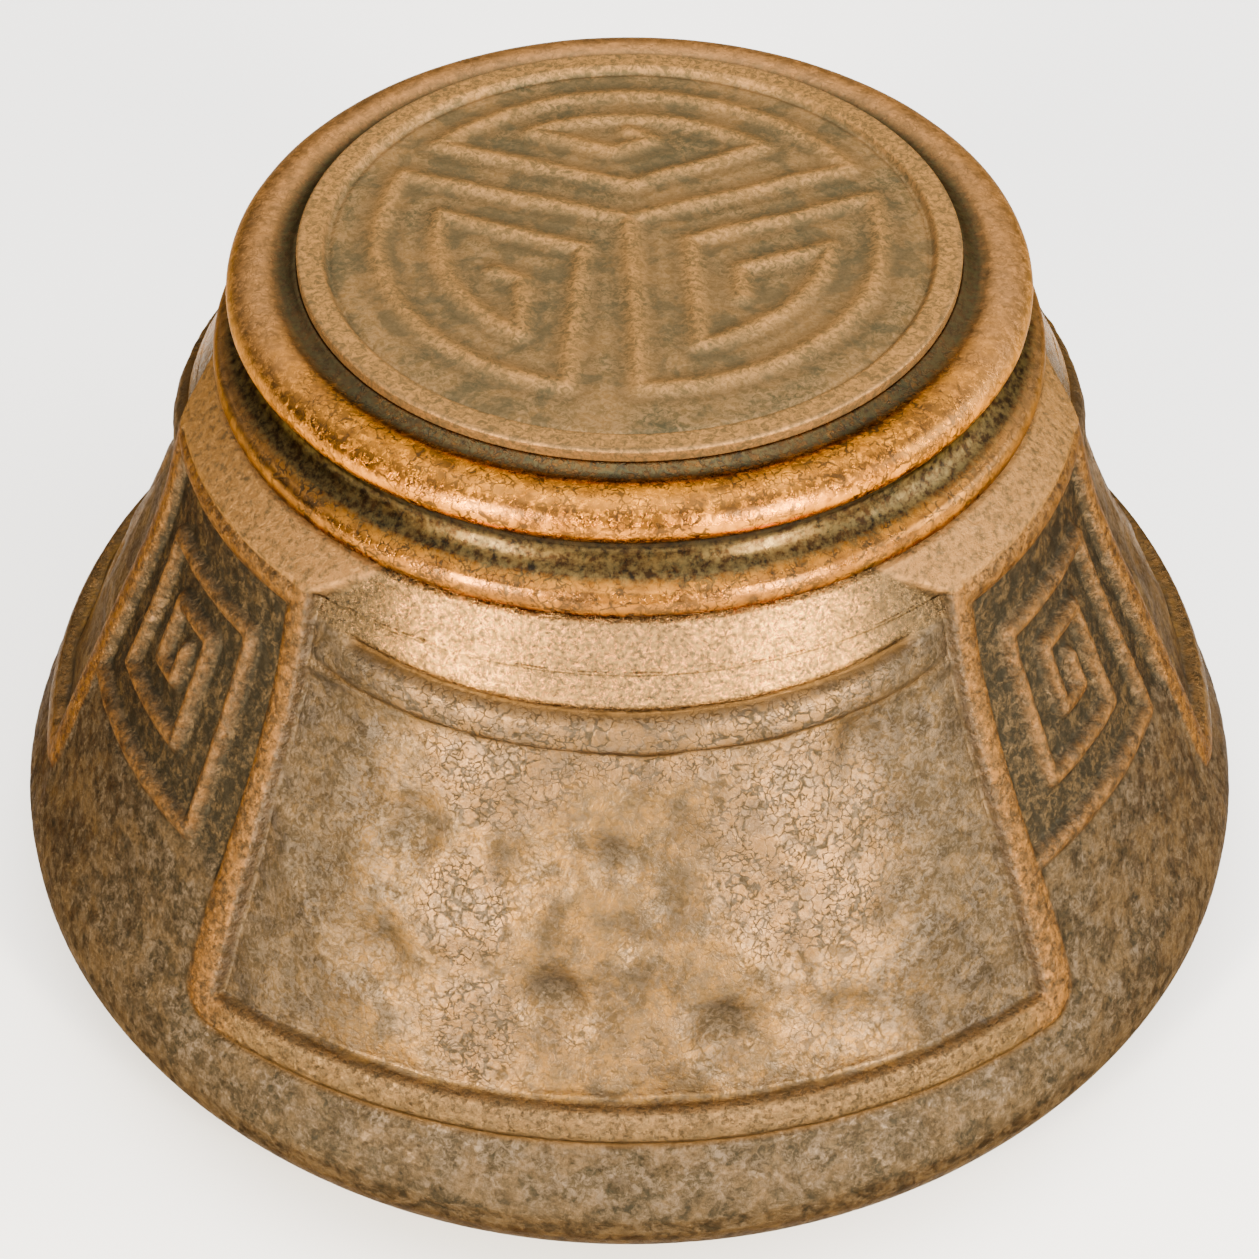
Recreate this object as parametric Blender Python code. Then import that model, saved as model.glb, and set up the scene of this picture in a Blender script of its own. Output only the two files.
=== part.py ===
"""Round cast-bronze inkwell: a hinged lid over a glass pot that hangs in a flared body.

Heights are measured up from the table, in millimetres, and turned pieces are drawn as
(radius, height) outlines. Azimuth is in degrees: 0 at the front (-Y), growing towards +X.
The body repeats every 120 degrees: a plain panel faces the front and a key-fret panel
stands between each two plain ones. The hinge is at the back, on the rear key panel.
"""
import math

import bmesh
import bpy
from mathutils import Matrix, Vector

MM = 0.001
GAP = 0.3                    # air left between two pieces that touch
ROUND_GAP = 0.6              # the same round a disc, whose facets dip between their corners
REPEATS = 3                  # panels of each kind round the body
SECTOR = 360 / REPEATS

# Body, outside
DECK_Z = 83.3                # flat top that the lid rests on
DECK_R = 50.3
SHOULDER_Z = 79.4            # corner between the sloping shoulder and the flank
SHOULDER_R = 55.0
FOOT_Z = 1.0
FLANK = [(SHOULDER_Z, SHOULDER_R), (66.0, 59.3), (45.0, 69.4), (28.0, 77.4),
         (15.7, 82.1), (9.0, 80.3), (4.0, 75.8), (FOOT_Z, 70.3)]

# Plain panels, between two ribs
PLAIN_EDGE = 40.5            # half-width in degrees, below the shoulder's corner
PLAIN_EDGE_TOP = 33.0        # half-width where the panel meets the lid
SHEET_DEPTH = 1.4            # how far the sheet lies under the ribs
SHEET_FLATTENING = 0.8       # extra depth down the middle: the sheet is flatter than a cone
NECK_Z = 75.4                # groove under the sandy neck
NECK_R = 54.6
BAND_CREST_Z = 72.8          # round band under the groove
BAND_CREST_R = 56.9
BAND_FOOT_Z = 70.4
SILL_TOP_Z = 30.3            # groove between sheet and sill
SILL_CREST_Z = 27.9
SILL_FOOT_Z = 25.5           # groove between sill and base
SILL_RISE = 0.8              # how much of the sheet's depth the sill wins back at its crest
BASE_FADE = 5.0              # height over which the base swells back to the full outline
PLAIN_COLUMNS = [-39.9, -36, -30, -20, -10, 0, 10, 20, 30, 36, 39.9]

# Key panels: a square spiral stands on a sunk field
KEY_HALF = 18.7              # outer side of the ribs, degrees from the panel's middle
RIB_INNER = 15.9
FIELD_EDGE = 14.6
FIELD_TOP_Z = 76.4
FIELD_DEPTH = 1.3
APRON_DEPTH = 0.5            # rough ground below the spiral
APRON_FOOT_Z = 24.0
RIDGE_HALF_DEG = 1.4
RIDGE_HALF_Z = 1.6
SPIRAL = [(-KEY_HALF, 43.6), (10, 43.6), (10, 68.8), (-10, 68.8), (-10, 50.3), (3.5, 50.3),
          (3.5, 63.7), (-4.5, 63.7), (-4.5, 55.8), (-0.5, 55.8), (-0.5, 59.6)]

# Body, inside
WELL_MOUTH_R = 35.9
DECK_UNDERSIDE_Z = 79.3
LEDGE_TOP_Z = 8.5            # ring that the base plate screws to
LEDGE_Z = 4.8
LEDGE_R = 58.0
RECESS_R = 66.3
INSIDE = [(RECESS_R, FOOT_Z), (RECESS_R, LEDGE_Z), (LEDGE_R, LEDGE_Z), (LEDGE_R, LEDGE_TOP_Z),
          (72.6, 11.5), (75.6, 18.0), (72.6, 27.0), (65.0, 43.0), (55.0, 64.0), (49.6, 76.0),
          (45.5, DECK_UNDERSIDE_Z), (WELL_MOUTH_R, DECK_UNDERSIDE_Z), (WELL_MOUTH_R, DECK_Z)]

# Lid
LID_SEGMENTS = 54
LID_BOTTOM_Z = DECK_Z + GAP
LID_INSIDE_R = 42.6
LID_CEILING_Z = 92.4
TORUS_R, TORUS_Z = 44.0, 93.8            # the big round moulding's centre
TORUS_HALF_R, TORUS_HALF_Z = 3.9, 3.0
TORUS_START, TORUS_END, TORUS_STEPS = 135, -60, 10   # from the groove to the cove, degrees
COVE = [(46.0, 90.3), (46.3, 89.2), (47.1, 88.1), (48.2, 87.4), (49.0, 87.0)]
BEAD = [(49.7, 86.4), (50.2, 85.6), (50.3, 84.8), (50.15, 84.1), (49.8, LID_BOTTOM_Z)]
MEDALLION_R = 39.3
SEAT_Z = 94.9
GROOVE_Z = 96.7

# Medallion relief
BAND_INNER_R = 35.6
BAND_Z = 98.3
MEDALLION_FIELD_Z = 97.6
FRET_Z = 98.4
FRET_TOP_WIDTH = 1.3
FRET_FOOT_WIDTH = 2.9
ARC = None                   # marks a leg that runs round the disc's centre
FRETS = [                    # in disc radii; all three start at the same off-centre fork
    [(0, 0.11), (0.68, 0.38), ARC, (-0.60, 0.50), (0, 0.29), (0.42, 0.49), ARC, (-0.31, 0.57),
     (-0.05, 0.47), (0.07, 0.53)],
    [(0, 0.11), (0.03, -0.70), ARC, (0.74, 0.22), (0.18, 0), (0.20, -0.50), ARC, (0.60, -0.03),
     (0.33, -0.14), (0.33, -0.28)],
    [(0, 0.11), (-0.70, 0.34), ARC, (-0.18, -0.69), (-0.14, -0.04), (-0.57, 0.13), ARC,
     (-0.32, -0.45), (-0.32, -0.20)],
]

# Hinge
HINGE_Y, HINGE_Z = 54.2, 86.5
KNUCKLE_R = 2.5
PIN_R = 1.0
PIN_BORE_R = PIN_R + GAP
MID_KNUCKLE_HALF = 2.9
OUTER_KNUCKLE = (3.2, 9.0)               # from and to, sideways from the middle
KNUCKLE_SEGMENTS = 24
PIN_SEGMENTS = 20
PIN_BUTTON_R = 1.9
PIN_BUTTON_HEIGHT = 1.1
PIN_OVERLAP = 0.5                        # how far the pin runs into its buttons
LEAF_THICKNESS = 1.5
LEAF_TOP_Z = 89.8                        # top of the lid's leaf, under the torus
WEB_TILT = -40                           # square to the shoulder
LEAF_HALF_ANGLE = 17.0
LEAF_STEPS = 10
LEAF_DOWN = (1.6, 3.6, 6.0)              # top, screws and foot of the body's leaf, down the shoulder
SCREW_ANGLE = 14.0                       # hinge screws, degrees either side of the back
HINGE_SCREW_R = 0.8
HINGE_SCREW_HEAD_R = 1.7
HINGE_SCREW_HEAD_HEIGHT = 0.9
BODY_SCREW_DEPTH = 2.6                   # below the shoulder's surface
LID_SCREW_R, LID_SCREW_TIP_Z = 48.3, 85.4
SCREW_SEGMENTS = 12
HEAD_SEGMENTS = 16

# Glass pot and its collar
COLLAR_BORE_R = 33.0
COLLAR_FLANGE_R = 40.0
COLLAR_TOP_Z = 85.0
COLLAR_FOOT_Z = 76.0
POT_FLANGE_R = 38.0
POT_RIM_Z = 87.4
POT_BOTTOM_Z = 34.0
POT_WALL_R = 32.3            # outside, under the flange
POT_INSIDE = [(30.6, POT_RIM_Z), (29.4, POT_RIM_Z - 0.8), (28.9, 84.0), (25.4, 43.0),
              (23.0, 39.8), (18.0, 38.6), (0, 38.2)]
POT_SEGMENTS = 40

# Base
PLATE_R = RECESS_R - ROUND_GAP
PLATE_BOTTOM_Z = 2.3
PLATE_TOP_Z = LEDGE_Z - GAP
FELT_R = 65.4
FELT_TOP_Z = PLATE_BOTTOM_Z - GAP
BASE_SCREW_CIRCLE_R = 61.8
BASE_SCREW_R = 1.1
BASE_SCREW_HEAD_R = 2.3
BASE_SCREW_HEAD_TOP_Z = PLATE_BOTTOM_Z + 0.9
BASE_HEAD_SEGMENTS = 20
BASE_SEGMENTS = 60


def clear_scene():
    for obj in list(bpy.data.objects):
        bpy.data.objects.remove(obj, do_unlink=True)


def metal(name, colour, roughness, metallic=1.0):
    """A plain Principled material."""
    made = bpy.data.materials.new(name)
    made.use_nodes = True
    shader = made.node_tree.nodes["Principled BSDF"]
    shader.inputs["Base Color"].default_value = (*colour, 1.0)
    shader.inputs["Roughness"].default_value = roughness
    shader.inputs["Metallic"].default_value = metallic
    return made


def glass(name, colour, roughness):
    made = metal(name, colour, roughness, metallic=0.0)
    made.node_tree.nodes["Principled BSDF"].inputs["Transmission Weight"].default_value = 1.0
    return made


def finish(name, bm, material=None, parent=None, smooth_angle=32):
    """Turn a bmesh into a scene object, shaded smooth away from its hard edges."""
    bmesh.ops.remove_doubles(bm, verts=bm.verts, dist=1e-7)
    bmesh.ops.recalc_face_normals(bm, faces=bm.faces)
    mesh = bpy.data.meshes.new(name)
    bm.to_mesh(mesh)
    bm.free()
    mesh.shade_smooth()
    mesh.set_sharp_from_angle(angle=math.radians(smooth_angle))
    obj = bpy.data.objects.new(name, mesh)
    bpy.context.collection.objects.link(obj)
    if material is None:
        obj.hide_render = True
        obj.display_type = "WIRE"
    else:
        mesh.materials.append(material)
    if parent is not None:
        obj.parent = parent
        obj.matrix_parent_inverse = parent.matrix_world.inverted()
    return obj


def boolean(target, tool, operation):
    step = target.modifiers.new(f"{operation.lower()} {tool.name}", "BOOLEAN")
    step.operation = operation
    step.solver = "EXACT"
    step.object = tool


def at(radius, azimuth, z):
    """A point from its radius, azimuth and height, in metres."""
    turn = math.radians(azimuth)
    return Vector((radius * math.sin(turn), -radius * math.cos(turn), z)) * MM


def turned(name, outline, segments, material, ring=True, parent=None):
    """Spin a (radius, z) outline. A ring's outline closes on itself, a disc's ends on the axis."""
    bm = bmesh.new()
    verts = [bm.verts.new(at(r, 0, z)) for r, z in outline]
    ends = zip(verts, verts[1:] + verts[:1]) if ring else zip(verts, verts[1:])
    edges = [bm.edges.new(pair) for pair in ends]
    bmesh.ops.spin(bm, geom=verts + edges, cent=(0, 0, 0), axis=(0, 0, 1),
                   angle=math.tau, steps=segments, use_merge=True)
    return finish(name, bm, material, parent)


def cylinder(name, start, end, radius, segments, material=None, parent=None):
    """A round bar between two points given in millimetres."""
    start, end = Vector(start) * MM, Vector(end) * MM
    along = end - start
    place = Matrix.Translation((start + end) / 2) @ along.to_track_quat("Z", "Y").to_matrix().to_4x4()
    bm = bmesh.new()
    bmesh.ops.create_cone(bm, cap_ends=True, segments=segments, radius1=radius * MM,
                          radius2=radius * MM, depth=along.length, matrix=place)
    return finish(name, bm, material, parent)


def block(name, centre, size, tilt=0.0):
    """A box in millimetres, tilted about X by an angle in degrees; used to join or cut."""
    place = (Matrix.Translation(Vector(centre) * MM) @ Matrix.Rotation(math.radians(tilt), 4, "X")
             @ Matrix.Diagonal((*(s * MM for s in size), 1)))
    bm = bmesh.new()
    bmesh.ops.create_cube(bm, size=1, matrix=place)
    return finish(name, bm)


def sector_bar(name, outline, half_angle, steps, material, parent=None):
    """A closed (radius, z) outline swept round the back of the body, either side of it."""
    bm = bmesh.new()
    loops = []
    for step in range(steps + 1):
        azimuth = 180 - half_angle + 2 * half_angle * step / steps
        loops.append([bm.verts.new(at(r, azimuth, z)) for r, z in outline])
    count = len(outline)
    for here, there in zip(loops, loops[1:]):
        for i in range(count):
            j = (i + 1) % count
            bm.faces.new((here[i], here[j], there[j], there[i]))
    bm.faces.new(loops[0])
    bm.faces.new(loops[-1])
    return finish(name, bm, material, parent)


# ---------------------------------------------------------------- body surface

def through(points, z):
    """Radius at height z on a smooth curve through (z, radius) points, top to bottom."""
    last = len(points) - 1
    slope = []
    for i in range(last + 1):
        (z0, r0), (z1, r1) = points[max(i - 1, 0)], points[min(i + 1, last)]
        slope.append((r1 - r0) / (z1 - z0))
    i = next((k for k in range(last) if z >= points[k + 1][0]), last - 1)
    (z0, r0), (z1, r1) = points[i], points[i + 1]
    span = z1 - z0
    t = (z - z0) / span
    return (r0 * (1 + 2 * t) * (1 - t) ** 2 + r1 * t * t * (3 - 2 * t)
            + span * (slope[i] * t * (1 - t) ** 2 - slope[i + 1] * t * t * (1 - t)))


def line(z, top, foot):
    """Radius at height z on the straight line between two (z, radius) points."""
    return top[1] + (foot[1] - top[1]) * (z - top[0]) / (foot[0] - top[0])


def envelope(z):
    """Outermost radius: the shoulder's cone above its corner, the flank below."""
    if z > SHOULDER_Z:
        return line(z, (DECK_Z, DECK_R), (SHOULDER_Z, SHOULDER_R))
    return through(FLANK, z)


def plain_radius(z, from_middle):
    """Plain panel: sandy neck, round band, hammered sheet and sill."""
    side = abs(from_middle) / PLAIN_EDGE
    sunk = SHEET_DEPTH + SHEET_FLATTENING * (1 - side * side)
    if z > NECK_Z:
        return line(z, (DECK_Z, DECK_R), (NECK_Z, NECK_R))
    if z > BAND_FOOT_Z:
        rise = BAND_CREST_R - line(z, (NECK_Z, NECK_R), (BAND_FOOT_Z, envelope(BAND_FOOT_Z) - sunk))
        bulge = 1 - ((z - BAND_CREST_Z) / (NECK_Z - BAND_CREST_Z)) ** 2
        return BAND_CREST_R - rise * (1 - max(bulge, 0))
    if z > SILL_TOP_Z:
        return envelope(z) - sunk
    if z > SILL_FOOT_Z:
        bulge = 1 - ((z - SILL_CREST_Z) / (SILL_TOP_Z - SILL_CREST_Z)) ** 2
        return envelope(z) - SHEET_DEPTH * (1 - SILL_RISE * max(bulge, 0))
    fade = max((z - SILL_FOOT_Z + BASE_FADE) / BASE_FADE, 0)
    return envelope(z) - 0.5 * SHEET_DEPTH * fade


def on_spiral(from_middle, z):
    """Height of the square spiral's ridge, 1 on its crest and 0 beside it."""
    best = 0.0
    for (u0, z0), (u1, z1) in zip(SPIRAL, SPIRAL[1:]):
        over_u = max(min(u0, u1) - from_middle, from_middle - max(u0, u1), 0) / RIDGE_HALF_DEG
        over_z = max(min(z0, z1) - z, z - max(z0, z1), 0) / RIDGE_HALF_Z
        best = max(best, 1 - max(over_u, over_z))
    return best


def key_radius(z, from_middle):
    """Key panel: ribs at its sides, a sunk field with the spiral, a rough apron below."""
    if z >= FIELD_TOP_Z or z <= APRON_FOOT_Z or abs(from_middle) >= RIB_INNER:
        return envelope(z)
    spiral_foot = SPIRAL[0][1]
    depth = APRON_DEPTH
    if z > spiral_foot:
        depth = FIELD_DEPTH
    ridge = on_spiral(from_middle, z)
    side = (abs(from_middle) - FIELD_EDGE) / (RIB_INNER - FIELD_EDGE)
    return envelope(z) - depth * (1 - max(ridge, side, 0))


def body_columns():
    """Azimuths of the body's columns: every edge of the relief has one."""
    crests = sorted({u for u, _ in SPIRAL[1:]})
    key = [-KEY_HALF, -RIB_INNER, -FIELD_EDGE, crests[0] - RIDGE_HALF_DEG]
    for left, right in zip(crests, crests[1:]):
        key.append(left)
        if right - left > 3 * RIDGE_HALF_DEG:
            key += [left + RIDGE_HALF_DEG, right - RIDGE_HALF_DEG]
        else:
            key.append((left + right) / 2)
    key += [crests[-1], crests[-1] + RIDGE_HALF_DEG, FIELD_EDGE, RIB_INNER, KEY_HALF]
    columns = []
    for repeat in range(REPEATS):
        columns += [("plain", repeat * SECTOR, u) for u in PLAIN_COLUMNS]
        columns += [("key", (repeat + 0.5) * SECTOR, u) for u in key]
    return columns


def body_rows():
    """Heights of the body's rows, top to bottom, with one on every edge of the relief."""
    rows = {DECK_Z, SHOULDER_Z, 78.2, FIELD_TOP_Z, NECK_Z, 74.6, BAND_CREST_Z, BAND_FOOT_Z}
    for _, z in SPIRAL[:-1]:
        rows |= {z - RIDGE_HALF_Z, z, z + RIDGE_HALF_Z}
    rows |= {SPIRAL[-1][1], 36.0, SILL_TOP_Z, SILL_TOP_Z - 0.9, SILL_CREST_Z, SILL_FOOT_Z}
    rows |= {APRON_FOOT_Z, 20.0, 15.7, 11.0, 7.0, 4.0, 2.0, FOOT_Z}
    return sorted(rows, reverse=True)


def body_section(kind, middle, from_middle, rows):
    """One column of the body: down the outside, then up the inside."""
    points = []
    for z in rows:
        u = from_middle
        radius = key_radius(z, u)
        if kind == "plain":
            narrowing = min(max((DECK_Z - z) / (DECK_Z - SHOULDER_Z), 0), 1)
            u *= (PLAIN_EDGE_TOP + (PLAIN_EDGE - PLAIN_EDGE_TOP) * narrowing) / PLAIN_EDGE
            radius = plain_radius(z, from_middle)
        points.append(at(radius, middle + u, z))
    points += [at(r, middle + from_middle, z) for r, z in INSIDE]
    return points


def body_shell(material):
    rows = body_rows()
    bm = bmesh.new()
    loops = [[bm.verts.new(p) for p in body_section(*column, rows)] for column in body_columns()]
    for here, there in zip(loops, loops[1:] + loops[:1]):
        for i in range(len(here)):
            j = (i + 1) % len(here)
            bm.faces.new((here[i], there[i], there[j], here[j]))
    body = finish("body_shell", bm, material)
    for side in (-1, 1):
        start, end = body_screw_line(side)
        tool = cylinder(f"cut body_leaf_screw {side}", start, end + (end - start).normalized() * GAP * 2,
                        HINGE_SCREW_R + GAP, SCREW_SEGMENTS)
        boolean(body, tool, "DIFFERENCE")
    for index in range(REPEATS):
        x, y = base_screw_place(index)
        tool = cylinder(f"cut base_screw {index}", (x, y, FOOT_Z), (x, y, LEDGE_TOP_Z + 4),
                        BASE_SCREW_R + GAP, SCREW_SEGMENTS)
        boolean(body, tool, "DIFFERENCE")
    return body


# ---------------------------------------------------------------- lid

def lid_outline():
    """Cross-section of the turned cap: seat, groove, torus, cove and bead outside, hollow inside."""
    torus = []
    for step in range(TORUS_STEPS + 1):
        turn = math.radians(TORUS_START + (TORUS_END - TORUS_START) * step / TORUS_STEPS)
        torus.append((TORUS_R + TORUS_HALF_R * math.cos(turn), TORUS_Z + TORUS_HALF_Z * math.sin(turn)))
    seat = [(0, SEAT_Z), (MEDALLION_R + GAP, SEAT_Z), (MEDALLION_R + GAP, GROOVE_Z - 0.1),
            (MEDALLION_R + GAP + 0.6, GROOVE_Z - 0.35)]
    inside = [(46.2, LID_BOTTOM_Z), (45.6, LID_BOTTOM_Z + 0.6), (LID_INSIDE_R, 87.5),
              (LID_INSIDE_R, LID_CEILING_Z - 1.5), (LID_INSIDE_R - 1.5, LID_CEILING_Z),
              (0, LID_CEILING_Z)]
    return seat + torus + COVE + BEAD + inside


def lid_cap(material, parent):
    cap = turned("lid_cap", lid_outline(), LID_SEGMENTS, material, ring=False, parent=parent)
    for side in (-1, 1):
        start, end = lid_screw_line(side)
        tool = cylinder(f"cut lid_leaf_screw {side}", start, end - Vector((0, 0, GAP)),
                        HINGE_SCREW_R + GAP, SCREW_SEGMENTS)
        boolean(cap, tool, "DIFFERENCE")
    return cap


def fret_path(turns):
    """Points along one fret, in millimetres; a leg marked ARC bends round the centre."""
    path = []
    curved = False
    for turn in turns:
        if turn is ARC:
            curved = True
            continue
        point = Vector(turn) * MEDALLION_R
        if curved:
            start = path[-1]
            a0, a1 = math.atan2(start.y, start.x), math.atan2(point.y, point.x)
            a1 += math.tau if a1 < a0 else 0
            count = max(round((a1 - a0) / math.radians(14)), 2)
            for step in range(1, count):
                t = step / count
                reach = start.length + (point.length - start.length) * t
                angle = a0 + (a1 - a0) * t
                path.append(Vector((math.cos(angle), math.sin(angle))) * reach)
        path.append(point)
        curved = False
    return path


def fret_ridge(name, path, top_z):
    """A ridge with sloping sides along a path, mitred where it turns."""
    bm = bmesh.new()
    sections = [(-FRET_FOOT_WIDTH / 2, MEDALLION_FIELD_Z - 0.5), (-FRET_TOP_WIDTH / 2, top_z),
                (FRET_TOP_WIDTH / 2, top_z), (FRET_FOOT_WIDTH / 2, MEDALLION_FIELD_Z - 0.5)]
    loops = []
    for i, point in enumerate(path):
        before = (point - path[i - 1]).normalized() if i else (path[1] - point).normalized()
        after = (path[i + 1] - point).normalized() if i < len(path) - 1 else before
        along = (before + after).normalized()
        across = Vector((-along.y, along.x)) / max(along.dot(before), 0.45)
        loops.append([bm.verts.new(Vector((*(point + across * w), z)) * MM) for w, z in sections])
    for here, there in zip(loops, loops[1:]):
        for j in range(4):
            k = (j + 1) % 4
            bm.faces.new((here[j], here[k], there[k], there[j]))
    bm.faces.new(loops[0])
    bm.faces.new(loops[-1])
    return finish(name, bm)


def lid_medallion(material, parent):
    """Relief disc: a flat border, an incised line and three interlocking frets on a sunk field."""
    outline = [(0, MEDALLION_FIELD_Z), (BAND_INNER_R - 0.3, MEDALLION_FIELD_Z),
               (BAND_INNER_R, MEDALLION_FIELD_Z - 0.25), (BAND_INNER_R + 0.4, BAND_Z - 0.1),
               (BAND_INNER_R + 0.9, BAND_Z), (MEDALLION_R - 0.4, BAND_Z), (MEDALLION_R, BAND_Z - 0.3),
               (MEDALLION_R, SEAT_Z + GAP), (0, SEAT_Z + GAP)]
    disc = turned("lid_medallion", outline, LID_SEGMENTS, material, ring=False, parent=parent)
    for index, turns in enumerate(FRETS):
        ridge = fret_ridge(f"fret {index}", fret_path(turns), FRET_Z - 0.03 * index)
        boolean(disc, ridge, "UNION")
    return disc


# ---------------------------------------------------------------- hinge

def shoulder_point(down, out):
    """Radius and height of a point down the shoulder's slope and out from its surface."""
    along = Vector((SHOULDER_R - DECK_R, SHOULDER_Z - DECK_Z)).normalized()
    normal = Vector((-along.y, along.x))
    spot = Vector((DECK_R, DECK_Z)) + along * down + normal * out
    return spot.x, spot.y


def body_screw_line(side):
    """Outer and inner end of a body-leaf screw, square to the shoulder, in millimetres."""
    ends = []
    for out in (GAP + LEAF_THICKNESS, -BODY_SCREW_DEPTH):
        radius, z = shoulder_point(LEAF_DOWN[1], out)
        ends.append(at(radius, 180 + side * SCREW_ANGLE, z) / MM)
    return ends


def lid_screw_line(side):
    """Top and bottom of a lid-leaf screw, upright through the cap's bead, in millimetres."""
    azimuth = 180 + side * SCREW_ANGLE
    return [at(LID_SCREW_R, azimuth, z) / MM for z in (LEAF_TOP_Z, LID_SCREW_TIP_Z)]


def screw(name, start, end, material, parent=None):
    """A round-headed screw: its shank goes from start to end, its head stands on start."""
    start, end = Vector(start), Vector(end)
    out = (start - end).normalized()
    head = cylinder(name, start + out * GAP, start + out * (GAP + HINGE_SCREW_HEAD_HEIGHT),
                    HINGE_SCREW_HEAD_R, HEAD_SEGMENTS, material, parent)
    shank = cylinder(f"shank of {name}", start + out * HINGE_SCREW_HEAD_HEIGHT, end, HINGE_SCREW_R,
                     SCREW_SEGMENTS)
    boolean(head, shank, "UNION")
    return head


def knuckle(name, x0, x1):
    """A piece of the hinge's barrel, from x0 to x1."""
    return cylinder(name, (x0, HINGE_Y, HINGE_Z), (x1, HINGE_Y, HINGE_Z), KNUCKLE_R, KNUCKLE_SEGMENTS)


def drill_barrel(leaf):
    """Bore the pin's hole right through a leaf's knuckles."""
    reach = OUTER_KNUCKLE[1] + KNUCKLE_R
    bore = cylinder(f"cut pin bore in {leaf.name}", (-reach, HINGE_Y, HINGE_Z),
                    (reach, HINGE_Y, HINGE_Z), PIN_BORE_R, PIN_SEGMENTS)
    boolean(leaf, bore, "DIFFERENCE")


def drill_screw_hole(leaf, side, start, end):
    """A clear hole for a screw that goes from start to end."""
    tool = cylinder(f"cut hole {side} in {leaf.name}", start + (start - end), end,
                    HINGE_SCREW_R + GAP, SCREW_SEGMENTS)
    boolean(leaf, tool, "DIFFERENCE")


def body_hinge_leaf(material):
    """A curved strap on the shoulder that carries the two outer knuckles."""
    top, _, foot = LEAF_DOWN
    strap = [shoulder_point(top, GAP), shoulder_point(top, GAP + LEAF_THICKNESS),
             shoulder_point(foot, GAP + LEAF_THICKNESS), shoulder_point(foot, GAP)]
    leaf = sector_bar("body_hinge_leaf", strap, LEAF_HALF_ANGLE, LEAF_STEPS, material)
    inner, outer = OUTER_KNUCKLE
    for side in (-1, 1):
        middle = side * (inner + outer) / 2
        web = block(f"web {side}", (middle, HINGE_Y - 1.4, HINGE_Z - 1.65), (outer - inner, 2.6, 4.3),
                    WEB_TILT)
        boolean(leaf, web, "UNION")
        boolean(leaf, knuckle(f"knuckle {side}", side * inner, side * outer), "UNION")
        drill_screw_hole(leaf, side, *body_screw_line(side))
    drill_barrel(leaf)
    return leaf


def lid_hinge_leaf(material, parent):
    """A curved strap on the cap's bead with an arm to the middle knuckle."""
    strap = [(46.9, 89.0), (46.9, LEAF_TOP_Z), (50.6, LEAF_TOP_Z), (50.6, 87.2), (49.2, 87.25),
             (48.3, 87.7)]
    leaf = sector_bar("lid_hinge_leaf", strap, LEAF_HALF_ANGLE, LEAF_STEPS, material, parent)
    arm = block("hinge arm", (0, 52.1, LEAF_TOP_Z - 0.9), (2 * MID_KNUCKLE_HALF, 4.6, 1.8))
    boolean(leaf, arm, "UNION")
    boolean(leaf, knuckle("middle knuckle", -MID_KNUCKLE_HALF, MID_KNUCKLE_HALF), "UNION")
    for side in (-1, 1):
        drill_screw_hole(leaf, side, *lid_screw_line(side))
    drill_barrel(leaf)
    return leaf


def hinge_pin(material):
    """A pin with a flat button at each end."""
    reach = OUTER_KNUCKLE[1] + GAP
    pin = cylinder("hinge_pin", (-reach - PIN_OVERLAP, HINGE_Y, HINGE_Z),
                   (reach + PIN_OVERLAP, HINGE_Y, HINGE_Z), PIN_R, PIN_SEGMENTS, material)
    for side in (-1, 1):
        button = cylinder(f"pin button {side}", (side * reach, HINGE_Y, HINGE_Z),
                          (side * (reach + PIN_BUTTON_HEIGHT), HINGE_Y, HINGE_Z), PIN_BUTTON_R,
                          PIN_SEGMENTS)
        boolean(pin, button, "UNION")
    return pin


# ---------------------------------------------------------------- pot, collar and base

def pot_collar(material):
    """Brass ring that lines the well's mouth and carries the pot's flange."""
    sleeve_r = WELL_MOUTH_R - ROUND_GAP
    outline = [(COLLAR_BORE_R, COLLAR_FOOT_Z), (sleeve_r, COLLAR_FOOT_Z), (sleeve_r, DECK_Z + GAP),
               (COLLAR_FLANGE_R, DECK_Z + GAP), (COLLAR_FLANGE_R, COLLAR_TOP_Z - 0.3),
               (COLLAR_FLANGE_R - 0.3, COLLAR_TOP_Z), (COLLAR_BORE_R, COLLAR_TOP_Z)]
    return turned("pot_collar", outline, POT_SEGMENTS, material)


def glass_pot(material):
    """Thick glass cup with a flange, a rolled rim and a rounded floor."""
    flange_z = COLLAR_TOP_Z + GAP
    outside = [(0, POT_BOTTOM_Z), (24.5, POT_BOTTOM_Z), (27.6, 35.2), (28.8, 38.0), (POT_WALL_R, 82.0),
               (POT_WALL_R, flange_z), (POT_FLANGE_R - 0.4, flange_z), (POT_FLANGE_R, flange_z + 0.5),
               (POT_FLANGE_R, POT_RIM_Z - 0.9), (POT_FLANGE_R - 0.8, POT_RIM_Z)]
    return turned("glass_pot", outside + POT_INSIDE, POT_SEGMENTS, material, ring=False)


def base_screw_place(index):
    """Where a base screw stands; each is under the middle of a key panel."""
    spot = at(BASE_SCREW_CIRCLE_R, 60 + SECTOR * index, 0) / MM
    return spot.x, spot.y


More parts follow.
